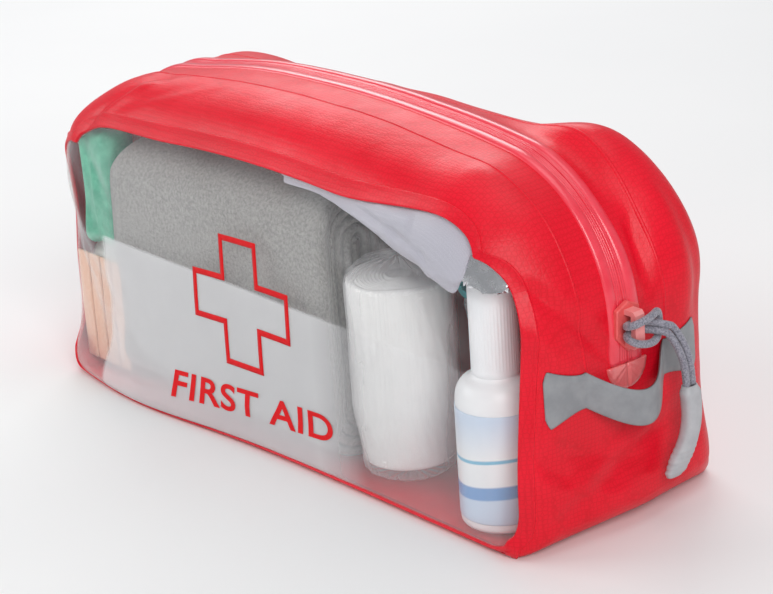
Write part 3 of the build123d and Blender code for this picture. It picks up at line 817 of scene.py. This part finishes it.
def pull_grip(skins):
    spine = smooth_line([section[:3] for section in GRIP], 14)
    share = np.linspace(0, 1, len(spine))
    keys = np.linspace(0, 1, len(GRIP))
    wide_x = np.interp(share, keys, [section[3] for section in GRIP]) / 2
    wide_y = np.interp(share, keys, [section[4] for section in GRIP]) / 2
    end = np.minimum(share, 1 - share)
    soft = 1 - 0.28 * (1 - ease(end / 0.05))
    ribs = 1 + 0.035 * np.cos(share * 2 * np.pi * 14) * ease((share - 0.55) / 0.1)
    turn = np.linspace(0, 2 * np.pi, 40, endpoint=False)
    power = 0.75
    cx = np.sign(np.cos(turn)) * np.abs(np.cos(turn)) ** power
    cy = np.sign(np.sin(turn)) * np.abs(np.sin(turn)) ** power
    size = (soft * ribs)[:, None]
    rings = np.stack([
        spine[:, None, 0] + cx * wide_x[:, None] * size,
        spine[:, None, 1] + cy * wide_y[:, None] * size,
        np.repeat(spine[:, None, 2], len(turn), 1)], -1)
    rings = rings[:, ::-1]
    mouth = rings[0].copy()
    hollow = []
    for shrink, drop in ((0.80, 0.0), (0.74, 0.5), (0.70, 2.2)):
        centre = mouth.mean(axis=0)
        ring = centre + (mouth - centre) * shrink
        ring[:, 2] -= drop
        hollow.append(ring)
    rings = np.concatenate([np.array(hollow[::-1]), rings])
    return piece("pull_grip_moulding", rings.reshape(-1, 3), ring_faces(len(rings), len(turn)),
                 skins["grip_rubber"], body="pull", stands_for=("pull_grip",))


# ---------------------------------------------------------------- shell, window and welds
FABRIC_START = 2.6  # the cloth and the film overlap under the weld, outside the window's outline
FILM_END = 6.0
FILM_DEPTH = 0.35
FILM_T = 0.4


def outline_gap(box_points):
    """Distance outside the window's outline for points of the box, large away from the front."""
    near = box_points[:, 1] < -FACE_Y + 30
    return np.where(near, window_gap(*flatten(box_points)), 99.0)


def pouch(skins):
    """The fabric shell in two pieces, cut where the zip runs, and the window film."""
    xs = steps(-END_X, END_X)
    ys = steps(-FACE_Y, -SLOT_HALF, SLOT_HALF, FACE_Y)
    zs = steps(0, STOP_Z, FLAT_TOP)
    box, quads = box_grid(xs, ys, zs)
    at, out = rest_form(box)
    height = relief(at, out)
    outer = on_floor(at + out * height[:, None])
    normals = vertex_normals(outer, quads)
    middle = box[quads].mean(axis=1)
    gap = outline_gap(middle)
    slot = (np.abs(middle[:, 1]) < SLOT_HALF) & (middle[:, 2] > STOP_Z)
    fabric = ~slot & (gap > FABRIC_START)
    front = middle[:, 1] < -SLOT_HALF
    inner = outer - normals * WALL
    for name, choice, bend, nodes in (
        ("shell_front", fabric & front, LIP_BEND, ("front_lower_panel", "front_upper_panel")),
        ("shell_rear", fabric & ~front, None, ("rear_panel", "base_panel")),
    ):
        points, faces, ways = thick_sheet(quads[choice], outer, inner, normals)
        piece(name, points, faces, skins["red_fabric"], normals=ways, bend=bend, stands_for=nodes)
    crinkle = outer + out * film_relief(at, outline_gap(box))[:, None]
    points, faces, ways = thick_sheet(quads[gap < FILM_END], on_floor(crinkle - out * FILM_DEPTH),
                                      on_floor(crinkle - out * (FILM_DEPTH + FILM_T)),
                                      vertex_normals(crinkle, quads))
    piece("window_sheet", points, faces, skins["window_film"], bend=LIP_BEND, normals=ways,
          stands_for=("window_lower", "window_upper"))


def window_outline(count=560):
    """Points and outward directions round the window on the flattened front, evenly spaced."""
    corners = []
    for sx, sz, radius in ((1, -1, WINDOW_LOW_R), (1, 1, WINDOW_TOP_R), (-1, 1, WINDOW_TOP_R),
                           (-1, -1, WINDOW_LOW_R)):
        level = WINDOW_HIGH if sz > 0 else WINDOW_LOW
        centre = (sx * (WINDOW_X - radius), level - sz * radius)
        start = math.atan2(sz, sx) - math.pi / 4
        for angle in np.linspace(start, start + math.pi / 2, 40):
            corners.append((centre[0] + radius * math.cos(angle), centre[1] + radius * math.sin(angle)))
    corners = np.array(corners + [corners[0]])
    walked = walk(corners)
    at = np.linspace(0, walked[-1], 4 * count, endpoint=False)
    x, z = (np.interp(at, walked, corners[:, k]) for k in range(2))
    middle = (WINDOW_LOW + WINDOW_HIGH) / 2
    u, w = x, z
    for _ in range(30):
        above = middle + (z - middle) * (window_top(u) - middle) / (WINDOW_HIGH - middle)
        below = middle + (z - middle) * (middle - WINDOW_FOOT) / (middle - WINDOW_LOW)
        w = np.where(z > middle, above, below)
        u = x * window_reach(x, w) / WINDOW_X
    ring = np.stack([u, w], 1)
    walked = walk(ring)
    at = np.linspace(0, walked[-1], count, endpoint=False)
    ring = np.stack([np.interp(at, walked, ring[:, k]) for k in range(2)], 1)
    along = unit(np.roll(ring, -2, 0) - np.roll(ring, 2, 0))
    return ring, np.stack([along[:, 1], -along[:, 0]], 1)


def weld_ring(skins):
    """The welded band of fabric round the window, its inner edge a clean curve."""
    points, ways = window_outline()
    profile = np.array([(0.0, -1.0), (0.0, 0.12), (0.3, 0.42), (0.9, 0.50), (7.7, 0.42), (8.1, 0.62),
                        (8.6, 0.62), (9.0, 0.36), (9.4, -0.3), (5.0, -0.95)])[::-1]
    rings = points[:, None] + ways[:, None] * profile[None, :, 0, None]
    box = front_box(rings[..., 0], rings[..., 1]).reshape(-1, 3)
    lift = np.tile(profile[:, 1], len(points))
    laid = lay(box, lift)
    piece("window_weld", laid, ring_faces(len(points), len(profile), loop=True),
          skins["red_fabric"], bend=LIP_BEND)


ZIP_SIDES = ((-1, "front", LIP_BEND), (1, "rear", None))


def zip_path():
    """Box places (x, z) along the zip's middle, from the right stop over the top to the left one."""
    up = steps(STOP_Z, FLAT_TOP, cell=1.4)
    over = steps(-END_X, END_X, cell=1.4)[::-1]
    right = np.stack([np.full(len(up), END_X), up], 1)
    top = np.stack([over, np.full(len(over), FLAT_TOP)], 1)[1:-1]
    left = np.stack([np.full(len(up), -END_X), up[::-1]], 1)
    return np.concatenate([right, top, left])


def along_zip(profile):
    """A closed (y, lift) profile carried along the zip."""
    path = zip_path()
    rows, ring = len(path), len(profile)
    box = np.empty((rows, ring, 3))
    box[:, :, 0] = path[:, None, 0]
    box[:, :, 1] = profile[None, :, 0]
    box[:, :, 2] = path[:, None, 1]
    return lay(box.reshape(-1, 3), np.tile(profile[:, 1], rows)), ring_faces(rows, ring)


def zip_strip(side, section):
    """A strip on one side of the zip, from its (distance from the middle, lift) section."""
    section = np.array(section) * (side, 1)
    return along_zip(section if side < 0 else section[::-1])


def zip_tapes(skins):
    """Two laminated tape halves that meet over the coil, each with a smooth band and fine grooves."""
    bands = {"front": (3, [(3.35, 0.75), (3.9, 1.02), (5.2, 1.08), (6.6, 0.92)]),
             "rear": (2, [(2.5, 0.85), (3.1, 1.30), (4.4, 1.38), (6.2, 1.15)])}
    for side, half, bend in ZIP_SIDES:
        ridge_count, band = bands[half]
        section = [(0.12, -1.1), (0.12, 0.55)]
        for ridge in range(ridge_count):
            y = 0.45 + 0.95 * ridge
            section += [(y, 0.85), (y + 0.45, 0.85), (y + 0.65, 0.42)]
        section += band + [(7.2, 0.62), (7.6, 0.1), (7.6, -0.5), (5.5, -1.1)]
        points, faces = zip_strip(side, section)
        piece(f"zip_tape_{half}_band", points, faces, skins["zip_tape"], bend=bend,
              stands_for=("zip_tape_" + half,))
    for side, half, bend in ZIP_SIDES:
        bead = ((-0.8, -0.3), (-0.5, 0.16), (0.0, 0.24), (0.5, 0.16), (0.8, -0.3))
        points, faces = zip_strip(side, [(WELD_LINE + y, lift) for y, lift in bead])
        piece("zip_weld_" + half, points, faces, skins["red_fabric"], bend=bend)


def zip_teeth(skins):
    """The coil under the tapes: a row of small rounded teeth on each edge."""
    path = zip_path()
    at = lay(np.stack([path[:, 0], np.zeros(len(path)), path[:, 1]], 1))
    walked = walk(at)
    pitch = 1.5
    for side, half, bend in ZIP_SIDES:
        marks = np.arange(1.0 + 0.25 * pitch * (1 + side), walked[-1] - 1.0, pitch)
        x, z = (np.interp(marks, walked, path[:, k]) for k in range(2))
        ahead_x, ahead_z = (np.interp(marks + 0.5, walked, path[:, k]) for k in range(2))
        points, faces = [], []
        for k in range(len(marks)):
            centre = np.array([x[k], 0, z[k]])
            run = unit(np.array([ahead_x[k] - x[k], 0, ahead_z[k] - z[k]]))
            rings = []
            for reach, size in ((3.2, 0.30), (2.6, 0.42), (0.6, 0.42), (-0.3, 0.50), (-0.6, 0.2)):
                for angle in np.arange(6) * math.pi / 3:
                    spot = centre + run * size * math.cos(angle)
                    spot[1] = side * reach
                    rings.append((*spot, -1.75 + size * math.sin(angle)))
            faces += [[i + 30 * k for i in f] for f in ring_faces(5, 6)]
            points += rings
        points = np.array(points)
        laid = lay(points[:, :3], points[:, 3])
        node = "zip_coil_" + half
        piece(node + "_teeth", laid, faces, skins["zip_coil"], bend=bend, stands_for=(node,))


def garages(skins):
    """The half-moon ends under the zip, with fine upright grooves and a slit."""
    for side, name in ((1, "zip_garage_right"), (-1, "zip_garage_left")):
        turn = np.linspace(math.pi, 2 * math.pi, 49)
        rings = []
        for reach in (1.0, 0.985, 0.95, 0.82, 0.64, 0.46, 0.3, 0.15, 0.03):
            y = reach * GARAGE_R * np.cos(turn)
            z = STOP_Z - 0.3 + reach * GARAGE_R * np.sin(turn)
            body = 1.15 * ease((1 - reach) / 0.05 + 0.1)
            groove = 0.16 * np.cos(2 * np.pi * y / 1.35) * ease((1 - reach) / 0.1)
            slit = -0.7 * np.exp(-((y / 0.45) ** 2)) * ease((1 - reach) / 0.1)
            rings.append(np.stack([y, z, body + groove + slit], 1))
        grid = np.array(rings)
        top = grid.reshape(-1, 3)
        rows, columns = grid.shape[:2]
        quads = grid_quads(np.arange(rows * columns).reshape(rows, columns))
        box = np.stack([np.full(len(top), side * END_X), top[:, 0], top[:, 1]], 1)
        outer = lay(box, top[:, 2])
        inner = lay(box, np.full(len(top), -0.4))
        if side > 0:
            quads = quads[:, ::-1]
        points, faces, _ = thick_sheet(quads, outer, inner, vertex_normals(outer, quads))
        piece(name + "_patch", points, faces, skins["garage_film"], stands_for=(name,))


# ---------------------------------------------------------------- the window's print
CROSS_CENTRE = (-7.5, 57.8)
CROSS_REACH = (29.5, 24.4)
CROSS_ARM = (10.8, 8.6)
CROSS_STROKE = 2.3
CROSS_SLOPE = 0.03
WORD_BOX = (-54.0, 13.8, 45.0, 24.4)
WORD_SLOPE = 0.058


def print_cross(skins):
    """An outlined cross printed on the film."""
    reach, arm = CROSS_REACH, CROSS_ARM
    quarter = ((arm[0], reach[1]), (arm[0], arm[1]), (reach[0], arm[1]))
    ring = list(quarter)
    ring += [(x, -z) for x, z in quarter[::-1]]
    ring += [(-x, -z) for x, z in quarter]
    ring += [(-x, z) for x, z in quarter[::-1]]
    ring = np.array(ring)
    ring[:, 1] += CROSS_SLOPE * ring[:, 0]
    ring = ring + CROSS_CENTRE
    ahead = unit(np.roll(ring, -1, 0) - ring)
    behind = unit(ring - np.roll(ring, 1, 0))
    ahead_out = np.stack([-ahead[:, 1], ahead[:, 0]], 1)
    behind_out = np.stack([-behind[:, 1], behind[:, 0]], 1)
    mitre = ahead_out + behind_out
    mitre = mitre / np.sum(mitre * ahead_out, axis=1, keepdims=True)
    rows = []
    for k in range(len(ring)):
        after = (k + 1) % len(ring)
        count = max(2, round(np.linalg.norm(ring[after] - ring[k]) / 1.6))
        for share in np.linspace(0, 1, count, endpoint=False):
            rows.append(np.concatenate([ring[k] * (1 - share) + ring[after] * share,
                                        mitre[k] * (1 - share) + mitre[after] * share]))
    rows = np.array(rows)
    half = CROSS_STROKE / 2
    profile = np.array([(-half, -0.30), (-half, -0.16), (0.0, -0.14), (half, -0.16), (half, -0.30)])
    spots = rows[:, None, :2] + rows[:, None, 2:] * profile[None, :, 0, None]
    box = front_box(spots[..., 0], spots[..., 1]).reshape(-1, 3)
    laid = lay(box, np.tile(profile[:, 1], len(rows)), film=True)
    piece("print_cross", laid, ring_faces(len(rows), len(profile), loop=True), skins["red_print"],
          bend=LIP_BEND)


def print_words(skins):
    """The generic words under the cross."""
    text = bpy.data.curves.new("words", "FONT")
    text.body = "FIRST AID"
    text.offset = 0.018
    text.space_character = 1.06
    mesh = mesh_of(text)
    form = bmesh.new()
    form.from_mesh(mesh)
    bpy.data.meshes.remove(mesh)
    flat = np.array([vertex.co for vertex in form.verts])
    low, high = flat.min(axis=0), flat.max(axis=0)
    left, bottom, right, top = WORD_BOX
    for vertex in form.verts:
        vertex.co.x = left + (vertex.co.x - low[0]) / (high[0] - low[0]) * (right - left)
        vertex.co.y = bottom + (vertex.co.y - low[1]) / (high[1] - low[1]) * (top - bottom)
    for axis, marks in ((0, np.arange(left + 2, right, 2.5)), (1, np.arange(bottom + 2, top, 2.5))):
        way = [0, 0, 0]
        way[axis] = 1
        for mark in marks:
            spot = [0, 0, 0]
            spot[axis] = mark
            parts = form.verts[:] + form.edges[:] + form.faces[:]
            bmesh.ops.bisect_plane(form, geom=parts, plane_co=spot, plane_no=way, dist=1e-4)
    bmesh.ops.remove_doubles(form, verts=form.verts[:], dist=1e-3)
    bmesh.ops.recalc_face_normals(form, faces=form.faces[:])
    form.verts.index_update()
    flat = np.array([vertex.co for vertex in form.verts])
    faces = []
    for face in form.faces:
        ring = [vertex.index for vertex in face.verts]
        faces.append(ring if face.normal.z > 0 else ring[::-1])
    form.free()
    rise = WORD_SLOPE * (flat[:, 0] - (left + right) / 2)
    points = lay(front_box(flat[:, 0], flat[:, 1] + rise), -0.15, film=True)
    piece("print_words", points, faces, skins["red_print"], bend=LIP_BEND)


# ---------------------------------------------------------------- the grab straps
STRAP_Z = 58.0
STRAP_DROOP = 9.4
STRAP_BOW = 11.0
STRAP_T = 1.2
STRAP_HALF = 6.75
STRAP_FLARE = 10.2
BRIDGE_FRONT_Y = -21.0
BRIDGE_REAR_Y = 18.5
STRAP_ENDS = (-38.5, 36.0)


def straps(skins):
    """One strip of film at each end: two flared, welded feet and a bowed bridge between them."""
    for side, name in ((1, "strap_right"), (-1, "strap_left")):
        y = steps(STRAP_ENDS[0], BRIDGE_FRONT_Y, BRIDGE_REAR_Y, STRAP_ENDS[1], cell=0.9)
        share = np.clip((y - BRIDGE_FRONT_Y) / (BRIDGE_REAR_Y - BRIDGE_FRONT_Y), 0, 1)
        swell = np.maximum(np.sin(np.pi * share), 0)
        bow = STRAP_BOW * swell ** 1.2
        middle = STRAP_Z - STRAP_DROOP * swell
        front_foot = np.clip((BRIDGE_FRONT_Y - 2 - y) / 13, 0, 1) ** 1.4
        rear_foot = np.clip((y - BRIDGE_REAR_Y - 2) / 13, 0, 1) ** 1.4
        half = STRAP_HALF + (STRAP_FLARE - STRAP_HALF) * (front_foot + rear_foot)
        tip = np.minimum(y - STRAP_ENDS[0], STRAP_ENDS[1] - y)
        half = half * np.sqrt(np.clip(0.42 + tip / 3.0, 0, 1))
        across = np.array([-1.0, -0.985, -0.93, -0.6, -0.2, 0.2, 0.6, 0.93, 0.985, 1.0])
        over = np.array([0.25, 0.75, 1.0, 1.0, 1.0, 1.0, 1.0, 1.0, 0.75, 0.25])
        ring_z = np.concatenate([across, across[::-1]])
        ring_t = np.concatenate([over, 1 - over]) * STRAP_T - 0.25
        thick = 1 - 0.35 * (front_foot + rear_foot)
        z = middle[:, None] + half[:, None] * ring_z
        lift = bow[:, None] + ring_t * thick[:, None]
        box = np.empty((*z.shape, 3))
        box[..., 0] = side * END_X
        box[..., 1] = y[:, None]
        box[..., 2] = z
        laid = lay(box.reshape(-1, 3), lift.reshape(-1))
        faces = ring_faces(len(y), len(ring_z))
        if side > 0:
            faces = [face[::-1] for face in faces]
        bend = ("root", name, (side * 0.148, 0, STRAP_Z * MM), (side * 0.153, 0, STRAP_Z * MM))
        piece(name + "_strip", laid, faces, skins["strap_film"], bend=bend,
              stands_for=(name + "_anchors", name + "_bridge"))


# ---------------------------------------------------------------- the contents
def soft_body(low, high, radius, cell, shape):
    """A rounded box as a fine grid, moved along its normals by shape(points, normals)."""
    low, high = np.array(low, float), np.array(high, float)
    marks = [steps(a, b, cell=cell) for a, b in zip(low, high)]
    points, quads = box_grid(*marks)
    inner = np.clip(points, low + radius, high - radius)
    normals = unit(points - inner)
    points = inner + normals * radius
    return points + normals * shape(points, normals)[:, None], quads


def padded_pack(name, node, points, quads, skin, smooth=True):
    """A stuffed or wrapped piece in place of one node."""
    made = piece(name, points, quads, skin, stands_for=(node,), smooth=smooth)


def blanket(skins):
    """A fleece blanket folded over and over, its layers showing at both ends."""
    front, rear, low, high = -48.8, -7.0, 2.0, 110.8
    left, right = -102.0, 36.0
    turns, per_turn = 5.3, 150
    pitch, thick = 3.75, 2.6
    middle = ((front + rear) / 2, (low + high) / 2)
    angle = np.linspace(0, 2 * math.pi * turns, int(turns * per_turn)) + 0.5 * math.pi
    wound = (angle - angle[0]) / (2 * math.pi)
    half_y = (rear - front) / 2 - thick / 2 - pitch * wound
    straight = (high - low) / 2 - thick / 2 - (rear - front) / 2 + thick / 2
    line = np.stack([middle[0] + half_y * np.cos(angle),
                     middle[1] + half_y * np.sin(angle) + straight * np.clip(np.sin(angle) / 0.3, -1, 1)], 1)
    spots = np.c_[line, wound * 9]
    line += 0.55 * np.stack([noise(spots, 16, 31), noise(spots, 16, 32)], 1)
    line[:, 0] = np.clip(line[:, 0], front + thick / 2, rear - thick / 2)
    along = unit(np.gradient(line, axis=0))
    out = np.stack([-along[:, 1], along[:, 0]], 1)
    xs = steps(left, right, cell=6.0)
    share = (xs - left) / (right - left)
    ragged = 0.65 * np.sin(5.1 * wound) + 0.45 * np.sin(13.7 * wound + 1)
    grid = np.empty((len(line), 2, len(xs), 3))
    for face, sign in enumerate((1, -1)):
        spot = line + sign * out * thick / 2
        upper = np.clip((spot[:, 1] - 88) / 23, 0, 1)
        start = left + 16.0 * (1 - np.sqrt(1 - upper ** 2)) + ragged
        end = right + 5.5 * (1 - ease((spot[:, 0] - front) / 12)) - 1.0 + ragged
        lean = 4.5 * ease((32 - spot[:, 1]) / 28) * ease((-14 - spot[:, 0]) / 30)
        grid[:, face, :, 0] = start[:, None] + share * (end - start)[:, None]
        grid[:, face, :, 1] = (spot[:, 0] - lean)[:, None]
        grid[:, face, :, 2] = spot[:, 1:]
    loops = np.concatenate([grid[:, 0], grid[:, 1, ::-1]], axis=1)
    faces = ring_faces(len(line), 2 * len(xs))
    made = piece("blanket_roll", loops.reshape(-1, 3), faces, skins["blanket_fabric"],
                 stands_for=("folded_blanket",))


def nylon_pouch(skins):
    """A crumpled stuff sack lying over the blanket."""
    def crumple(points, normals):
        height = 1.1 * noise(points, (16, 16, 12), 41) + 0.9 * (ridges(points, (22, 22, 9), 42) - 0.5)
        height -= 1.9 * crease(points, (40, -48, 115), (116, -48, 102), 1.6)
        height += 1.3 * crease(points, (34, -48, 119), (48, -48, 110), 2.5)
        height += 1.0 * crease(points, (74, -48, 118), (80, -48, 103), 2.5)
        height -= 1.1 * crease(points, (92, -48, 118), (100, -48, 100), 2.0)
        return height
    low, high = 97.0, 119.0
    points, quads = soft_body((16.0, -49.0, low), (118.5, -5.0, high), 8.0, 1.3, crumple)
    share = np.clip((points[:, 2] - low) / (high - low), 0, 1)
    rise = 17.0 * (1 - ease((points[:, 0] - 36) / 58))
    rise += 5.0 * ease((points[:, 0] - 96) / 7) * ease((points[:, 1] + 48.5) / 4)
    rise -= 9.0 * ease((points[:, 0] - 90) / 22) * ease((-44.5 - points[:, 1]) / 3)
    points[:, 2] += (1 - share) * rise
    points = clear_of_skin(points, 2.2)
    padded_pack("stuff_sack", "nylon_pouch", points, quads, skins["pouch_nylon"])


def foil_blanket(skins):
    """A packed foil blanket, all small flat facets."""
    def facets(points, normals):
        return 1.7 * (ridges(points, 6.0, 51) - 0.6) + 1.2 * (ridges(points, 3.0, 52) - 0.5)
    points, quads = soft_body((114.5, -48.5, 95.0), (131.5, -14.0, 115.0), 4.0, 1.1, facets)
    over_cap = ease((126.5 - points[:, 0]) / 2.5)
    share = np.clip((points[:, 2] - 95) / 18, 0, 1)
    points[:, 2] += (1 - share) * 7.0 * over_cap * ease((points[:, 1] + 47) / 3)
    lean = np.hypot(np.maximum(points[:, 0] - ARC_X, 0), np.maximum(points[:, 2] - ARC_Z, 0))
    inward = np.minimum(1, (SHOULDER_R - 9) / np.maximum(lean, 1))
    points[:, 0] = ARC_X + (points[:, 0] - ARC_X) * inward
    points[:, 2] = ARC_Z + (points[:, 2] - ARC_Z) * inward
    points = clear_of_skin(points, 3.0)
    padded_pack("foil_pack", "foil_blanket", points, quads, skins["foil"], smooth=False)


def turned(profile, centre, count, wobble=None):
    """Rings of a (radius, z) profile turned about an upright axis."""
    turn = np.linspace(0, 2 * math.pi, count, endpoint=False)
    profile = np.array(profile, float)
    radius = np.repeat(profile[:, :1], count, 1)
    z = np.repeat(profile[:, 1:], count, 1)
    if wobble:
        radius, z = wobble(radius, z, np.repeat(turn[None], len(profile), 0))
    points = np.stack([centre[0] + radius * np.cos(turn), centre[1] + radius * np.sin(turn), z], -1)
    return points.reshape(-1, 3), ring_faces(len(profile), count)


ROLL = (58.0, -27.0)


def bandage(skins):
    """A crepe bandage rolled up, in a clear wrapper tucked in above and below."""
    radius, low, high, core = 20.0, 9.0, 82.0, 4.0
    profile = [(core, low + 2), (core + 1, low)]
    profile += [(r, low) for r in steps(core + 2, radius - 2, cell=1.2)]
    profile += [(radius - 0.8, low + 0.3), (radius, low + 1.2)]
    profile += [(radius, z) for z in steps(low + 2.5, high - 2.5, cell=1.2)]
    profile += [(radius, high - 1.2), (radius - 0.8, high - 0.3)]
    profile += [(r, high) for r in steps(core + 1, radius - 2, cell=0.35)[::-1]]
    profile += [(core, high - 2)]
    def crepe(r, z, turn):
        spiral = np.abs(((r - turn / (2 * math.pi) * 1.4) / 1.4) % 1 - 0.5) * 2
        on_top = z > high - 0.1
        z = z - np.where(on_top & (r > core + 1), 1.1 * (1 - spiral) + 0.5 * np.sin(3 * turn), 0)
        side = np.where((z > low + 2) & (z < high - 2), 1.0, 0.0)
        r = r * (1 - 0.10 * ease((34 - z) / 24) * (r > core + 1))
        r = r + side * (0.20 * np.sin(z * 2.6 + 0.6 * np.sin(5 * turn)) + 0.06 * np.sin(31 * turn + z * 0.3))
        return r, z
    points, faces = turned(profile, ROLL, 180, crepe)
    piece("bandage_crepe", points, faces, skins["bandage_cotton"], stands_for=("bandage_roll",))
    wrap, bottom, top = 20.9, 3.6, 90.0
    outline = [(0.6, bottom)]
    outline += [(r, bottom + 0.4 + 0.02 * r) for r in steps(2, wrap - 3, cell=1.6)]
    outline += [(wrap - 0.8, bottom + 2.2), (wrap, bottom + 5)]
    outline += [(wrap, z) for z in steps(bottom + 7, 80, cell=2.0)]
    outline += [(wrap - 0.6, 82.5), (wrap - 2.4, 84.3)]
    outline += [(r, top - 5 * (r / wrap) ** 1.5) for r in steps(2, wrap - 5, cell=1.6)[::-1]]
    outline += [(0.6, top)]
    def tucks(r, z, turn):
        pleat = np.sin(17 * turn + 0.9 * np.sin(3 * turn)) + 0.5 * np.sin(41 * turn)
        ends = ease((12 - (z - bottom)) / 9) + ease((z - 76) / 8)
        r = r * (1 - 0.10 * ease((34 - z) / 26)) - 0.55 * ends * np.abs(pleat) * np.clip(r / wrap, 0.1, 1)
        z = z + 0.5 * pleat * ends * np.clip(1 - r / wrap, 0, 1) * np.where(z > 50, -1, 1)
        spot = np.stack([r * np.cos(turn), r * np.sin(turn), z], -1).reshape(-1, 3)
        r = r + (0.75 * (ridges(spot, (7, 7, 20), 61) - 0.85)).reshape(r.shape)
        return r, z
    points, faces = turned(outline, ROLL, 150, tucks)
    points = clear_of_skin(points, 2.2)
    piece("bandage_cellophane", points, faces, skins["cellophane"], stands_for=("bandage_wrapper",))


BOTTLE = (115.5, -33.0)
BOTTLE_R = 15.2
LABEL_R = 15.5
CAP_R = 8.8
CAP_EDGE = 2.6


def arc(centre, size, start, end, count):
    """Points of a section on a round or oval stretch, between two angles."""
    return [(centre[0] + size[0] * math.cos(a), centre[1] + size[1] * math.sin(a))
            for a in np.linspace(start, end, count)]


def bottle(skins):
    """The spray bottle with its label and ribbed cap."""
    body = [(0.3, 4.2), (9, 4.0)]
    body += arc((BOTTLE_R - 2.2, 5.2), (2.2, 2.2), -math.pi / 2, 0, 6)
    body += [(BOTTLE_R, z) for z in (7.0, 20.0, 35.0, 49.0)]
    body += arc((BOTTLE_R - 5.6, 50.5), (5.6, 8.5), 0.05, 1.5, 9)
    body += [(8.6, 60.0), (8.2, 62.0), (8.2, 66.5), (7.8, 67.5), (0.3, 67.6)]
    points, faces = turned(body, BOTTLE, 64)
    piece("bottle_body", points, faces, skins["bottle_white"], stands_for=("spray_bottle",))
    paper = [(LABEL_R - 0.25, 7.2), (LABEL_R - 0.08, 7.0), (LABEL_R, 7.3)]
    paper += [(LABEL_R, z) for z in steps(9, 47, cell=6)]
    paper += [(LABEL_R, 48.7), (LABEL_R - 0.08, 49.0), (LABEL_R - 0.25, 48.8)]
    points, faces = turned(paper, BOTTLE, 72)
    piece("bottle_paper", points, ring_faces(len(paper), 72, loop=True), skins["label_paper"],
          stands_for=("bottle_label",))
    cap = [(0.3, 98.6), (6, 98.5), (7.9, 96.5), (8.1, 94), (8.1, 66), (8.2, 62.0), (8.2, 60.6)]
    cap += [(8.5, 60.3), (CAP_R, 60.6), (CAP_R, 62.0), (CAP_R, 63.0)]
    cap += [(CAP_R, z) for z in steps(64, 96, cell=2)]
    cap += arc((CAP_R - CAP_EDGE, 97.5), (CAP_EDGE, CAP_EDGE), 0, 1.5, 7)
    cap += [(4, 100.1), (0.3, 100.15)]
    def ribs(r, z, turn):
        deep = ease((z - 63.0) / 1.0) * ease((88.0 - z) / 1.0) * np.where(r > CAP_R - 0.2, 1, 0)
        return r - 0.16 * deep * np.maximum(np.sin(44 * turn), 0), z
    points, faces = turned(cap, BOTTLE, 176, ribs)
    piece("bottle_cap", points, faces, skins["cap_white"], stands_for=("spray_cap",))


def packs(skins):
    """Glove pack and dressing pack at the left end."""
    def glove(points, normals):
        return 0.9 * noise(points, (9, 9, 20), 71) + 0.9 * (ridges(points, (7, 9, 30), 72) - 0.5)
    def dressing(points, normals):
        seam = lump(points, (-118, -28, 56), (60, 30, 3.5)) + lump(points, (-118, -28, 3), (60, 30, 3))
        return 0.5 * noise(points, 11, 73) - 4.0 * seam * np.abs(normals[:, 1])
    points, quads = soft_body((-128.5, -46.5, 58.5), (-104.0, -30.5, 112.0), 5.0, 1.3, glove)
    padded_pack("glove_wrap", "glove_pack", points, quads, skins["glove_green"])
    points, quads = soft_body((-137.5, -40.0, 1.8), (-103.5, -16.5, 56.5), 5.5, 1.4, dressing)
    padded_pack("dressing_wrap", "dressing_pack", points, quads, skins["dressing_paper"])


def plasters(skins):
    """A row of plasters in front of the dressing pack, each with a slight pad."""
    all_points, all_faces, total = [], [], 0
    low, high, pitch, width = 4.2, 53.4, 8.5, 7.8
    for strip in range(4):
        x = -136.5 + pitch * strip
        def pad(points, normals):
            return 0.35 * lump(points, (x + 4, -46.5, 29), (4, 6, 9)) + 0.10 * noise(points, 5, 80 + strip)
        points, quads = soft_body((x, -46.4, low), (x + width, -45.2, high), 0.55, 0.8, pad)
        points[:, 1] += 0.6 * ease((points[:, 2] - 4) / 50)
        all_points.append(points)
        all_faces.append(quads + total)
        total += len(points)
    piece("plaster_row", np.concatenate(all_points), np.concatenate(all_faces),
          skins["plaster_peach"], stands_for=("plaster_strips",))


def dress_cad(skins):
    """Procedural skins for the frame's pieces that stay as they are."""
    for node, skin in (
        ("slider_body", "slider_plastic"), ("slider_bail", "bail_plastic"), ("spray_pump", "pump_white"),
        ("dip_tube", "tube_clear"), ("scissor_blade_left", "scissor_steel"),
        ("scissor_blade_right", "scissor_steel"), ("scissor_ring_left", "scissor_handle"),
        ("scissor_ring_right", "scissor_handle"), ("scissor_rivet", "scissor_steel"),
    ):
        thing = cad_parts[node]
        thing.data.materials.clear()
        thing.data.materials.append(skins[skin])


# ---------------------------------------------------------------- the whole scene
camera()
skins = make_skins()
cord(skins, pull_grip(skins))
pouch(skins)
weld_ring(skins)
zip_tapes(skins)
zip_teeth(skins)
garages(skins)
print_cross(skins)
print_words(skins)
straps(skins)
blanket(skins)
nylon_pouch(skins)
foil_blanket(skins)
bandage(skins)
bottle(skins)
packs(skins)
plasters(skins)
dress_cad(skins)
floor()
lights()
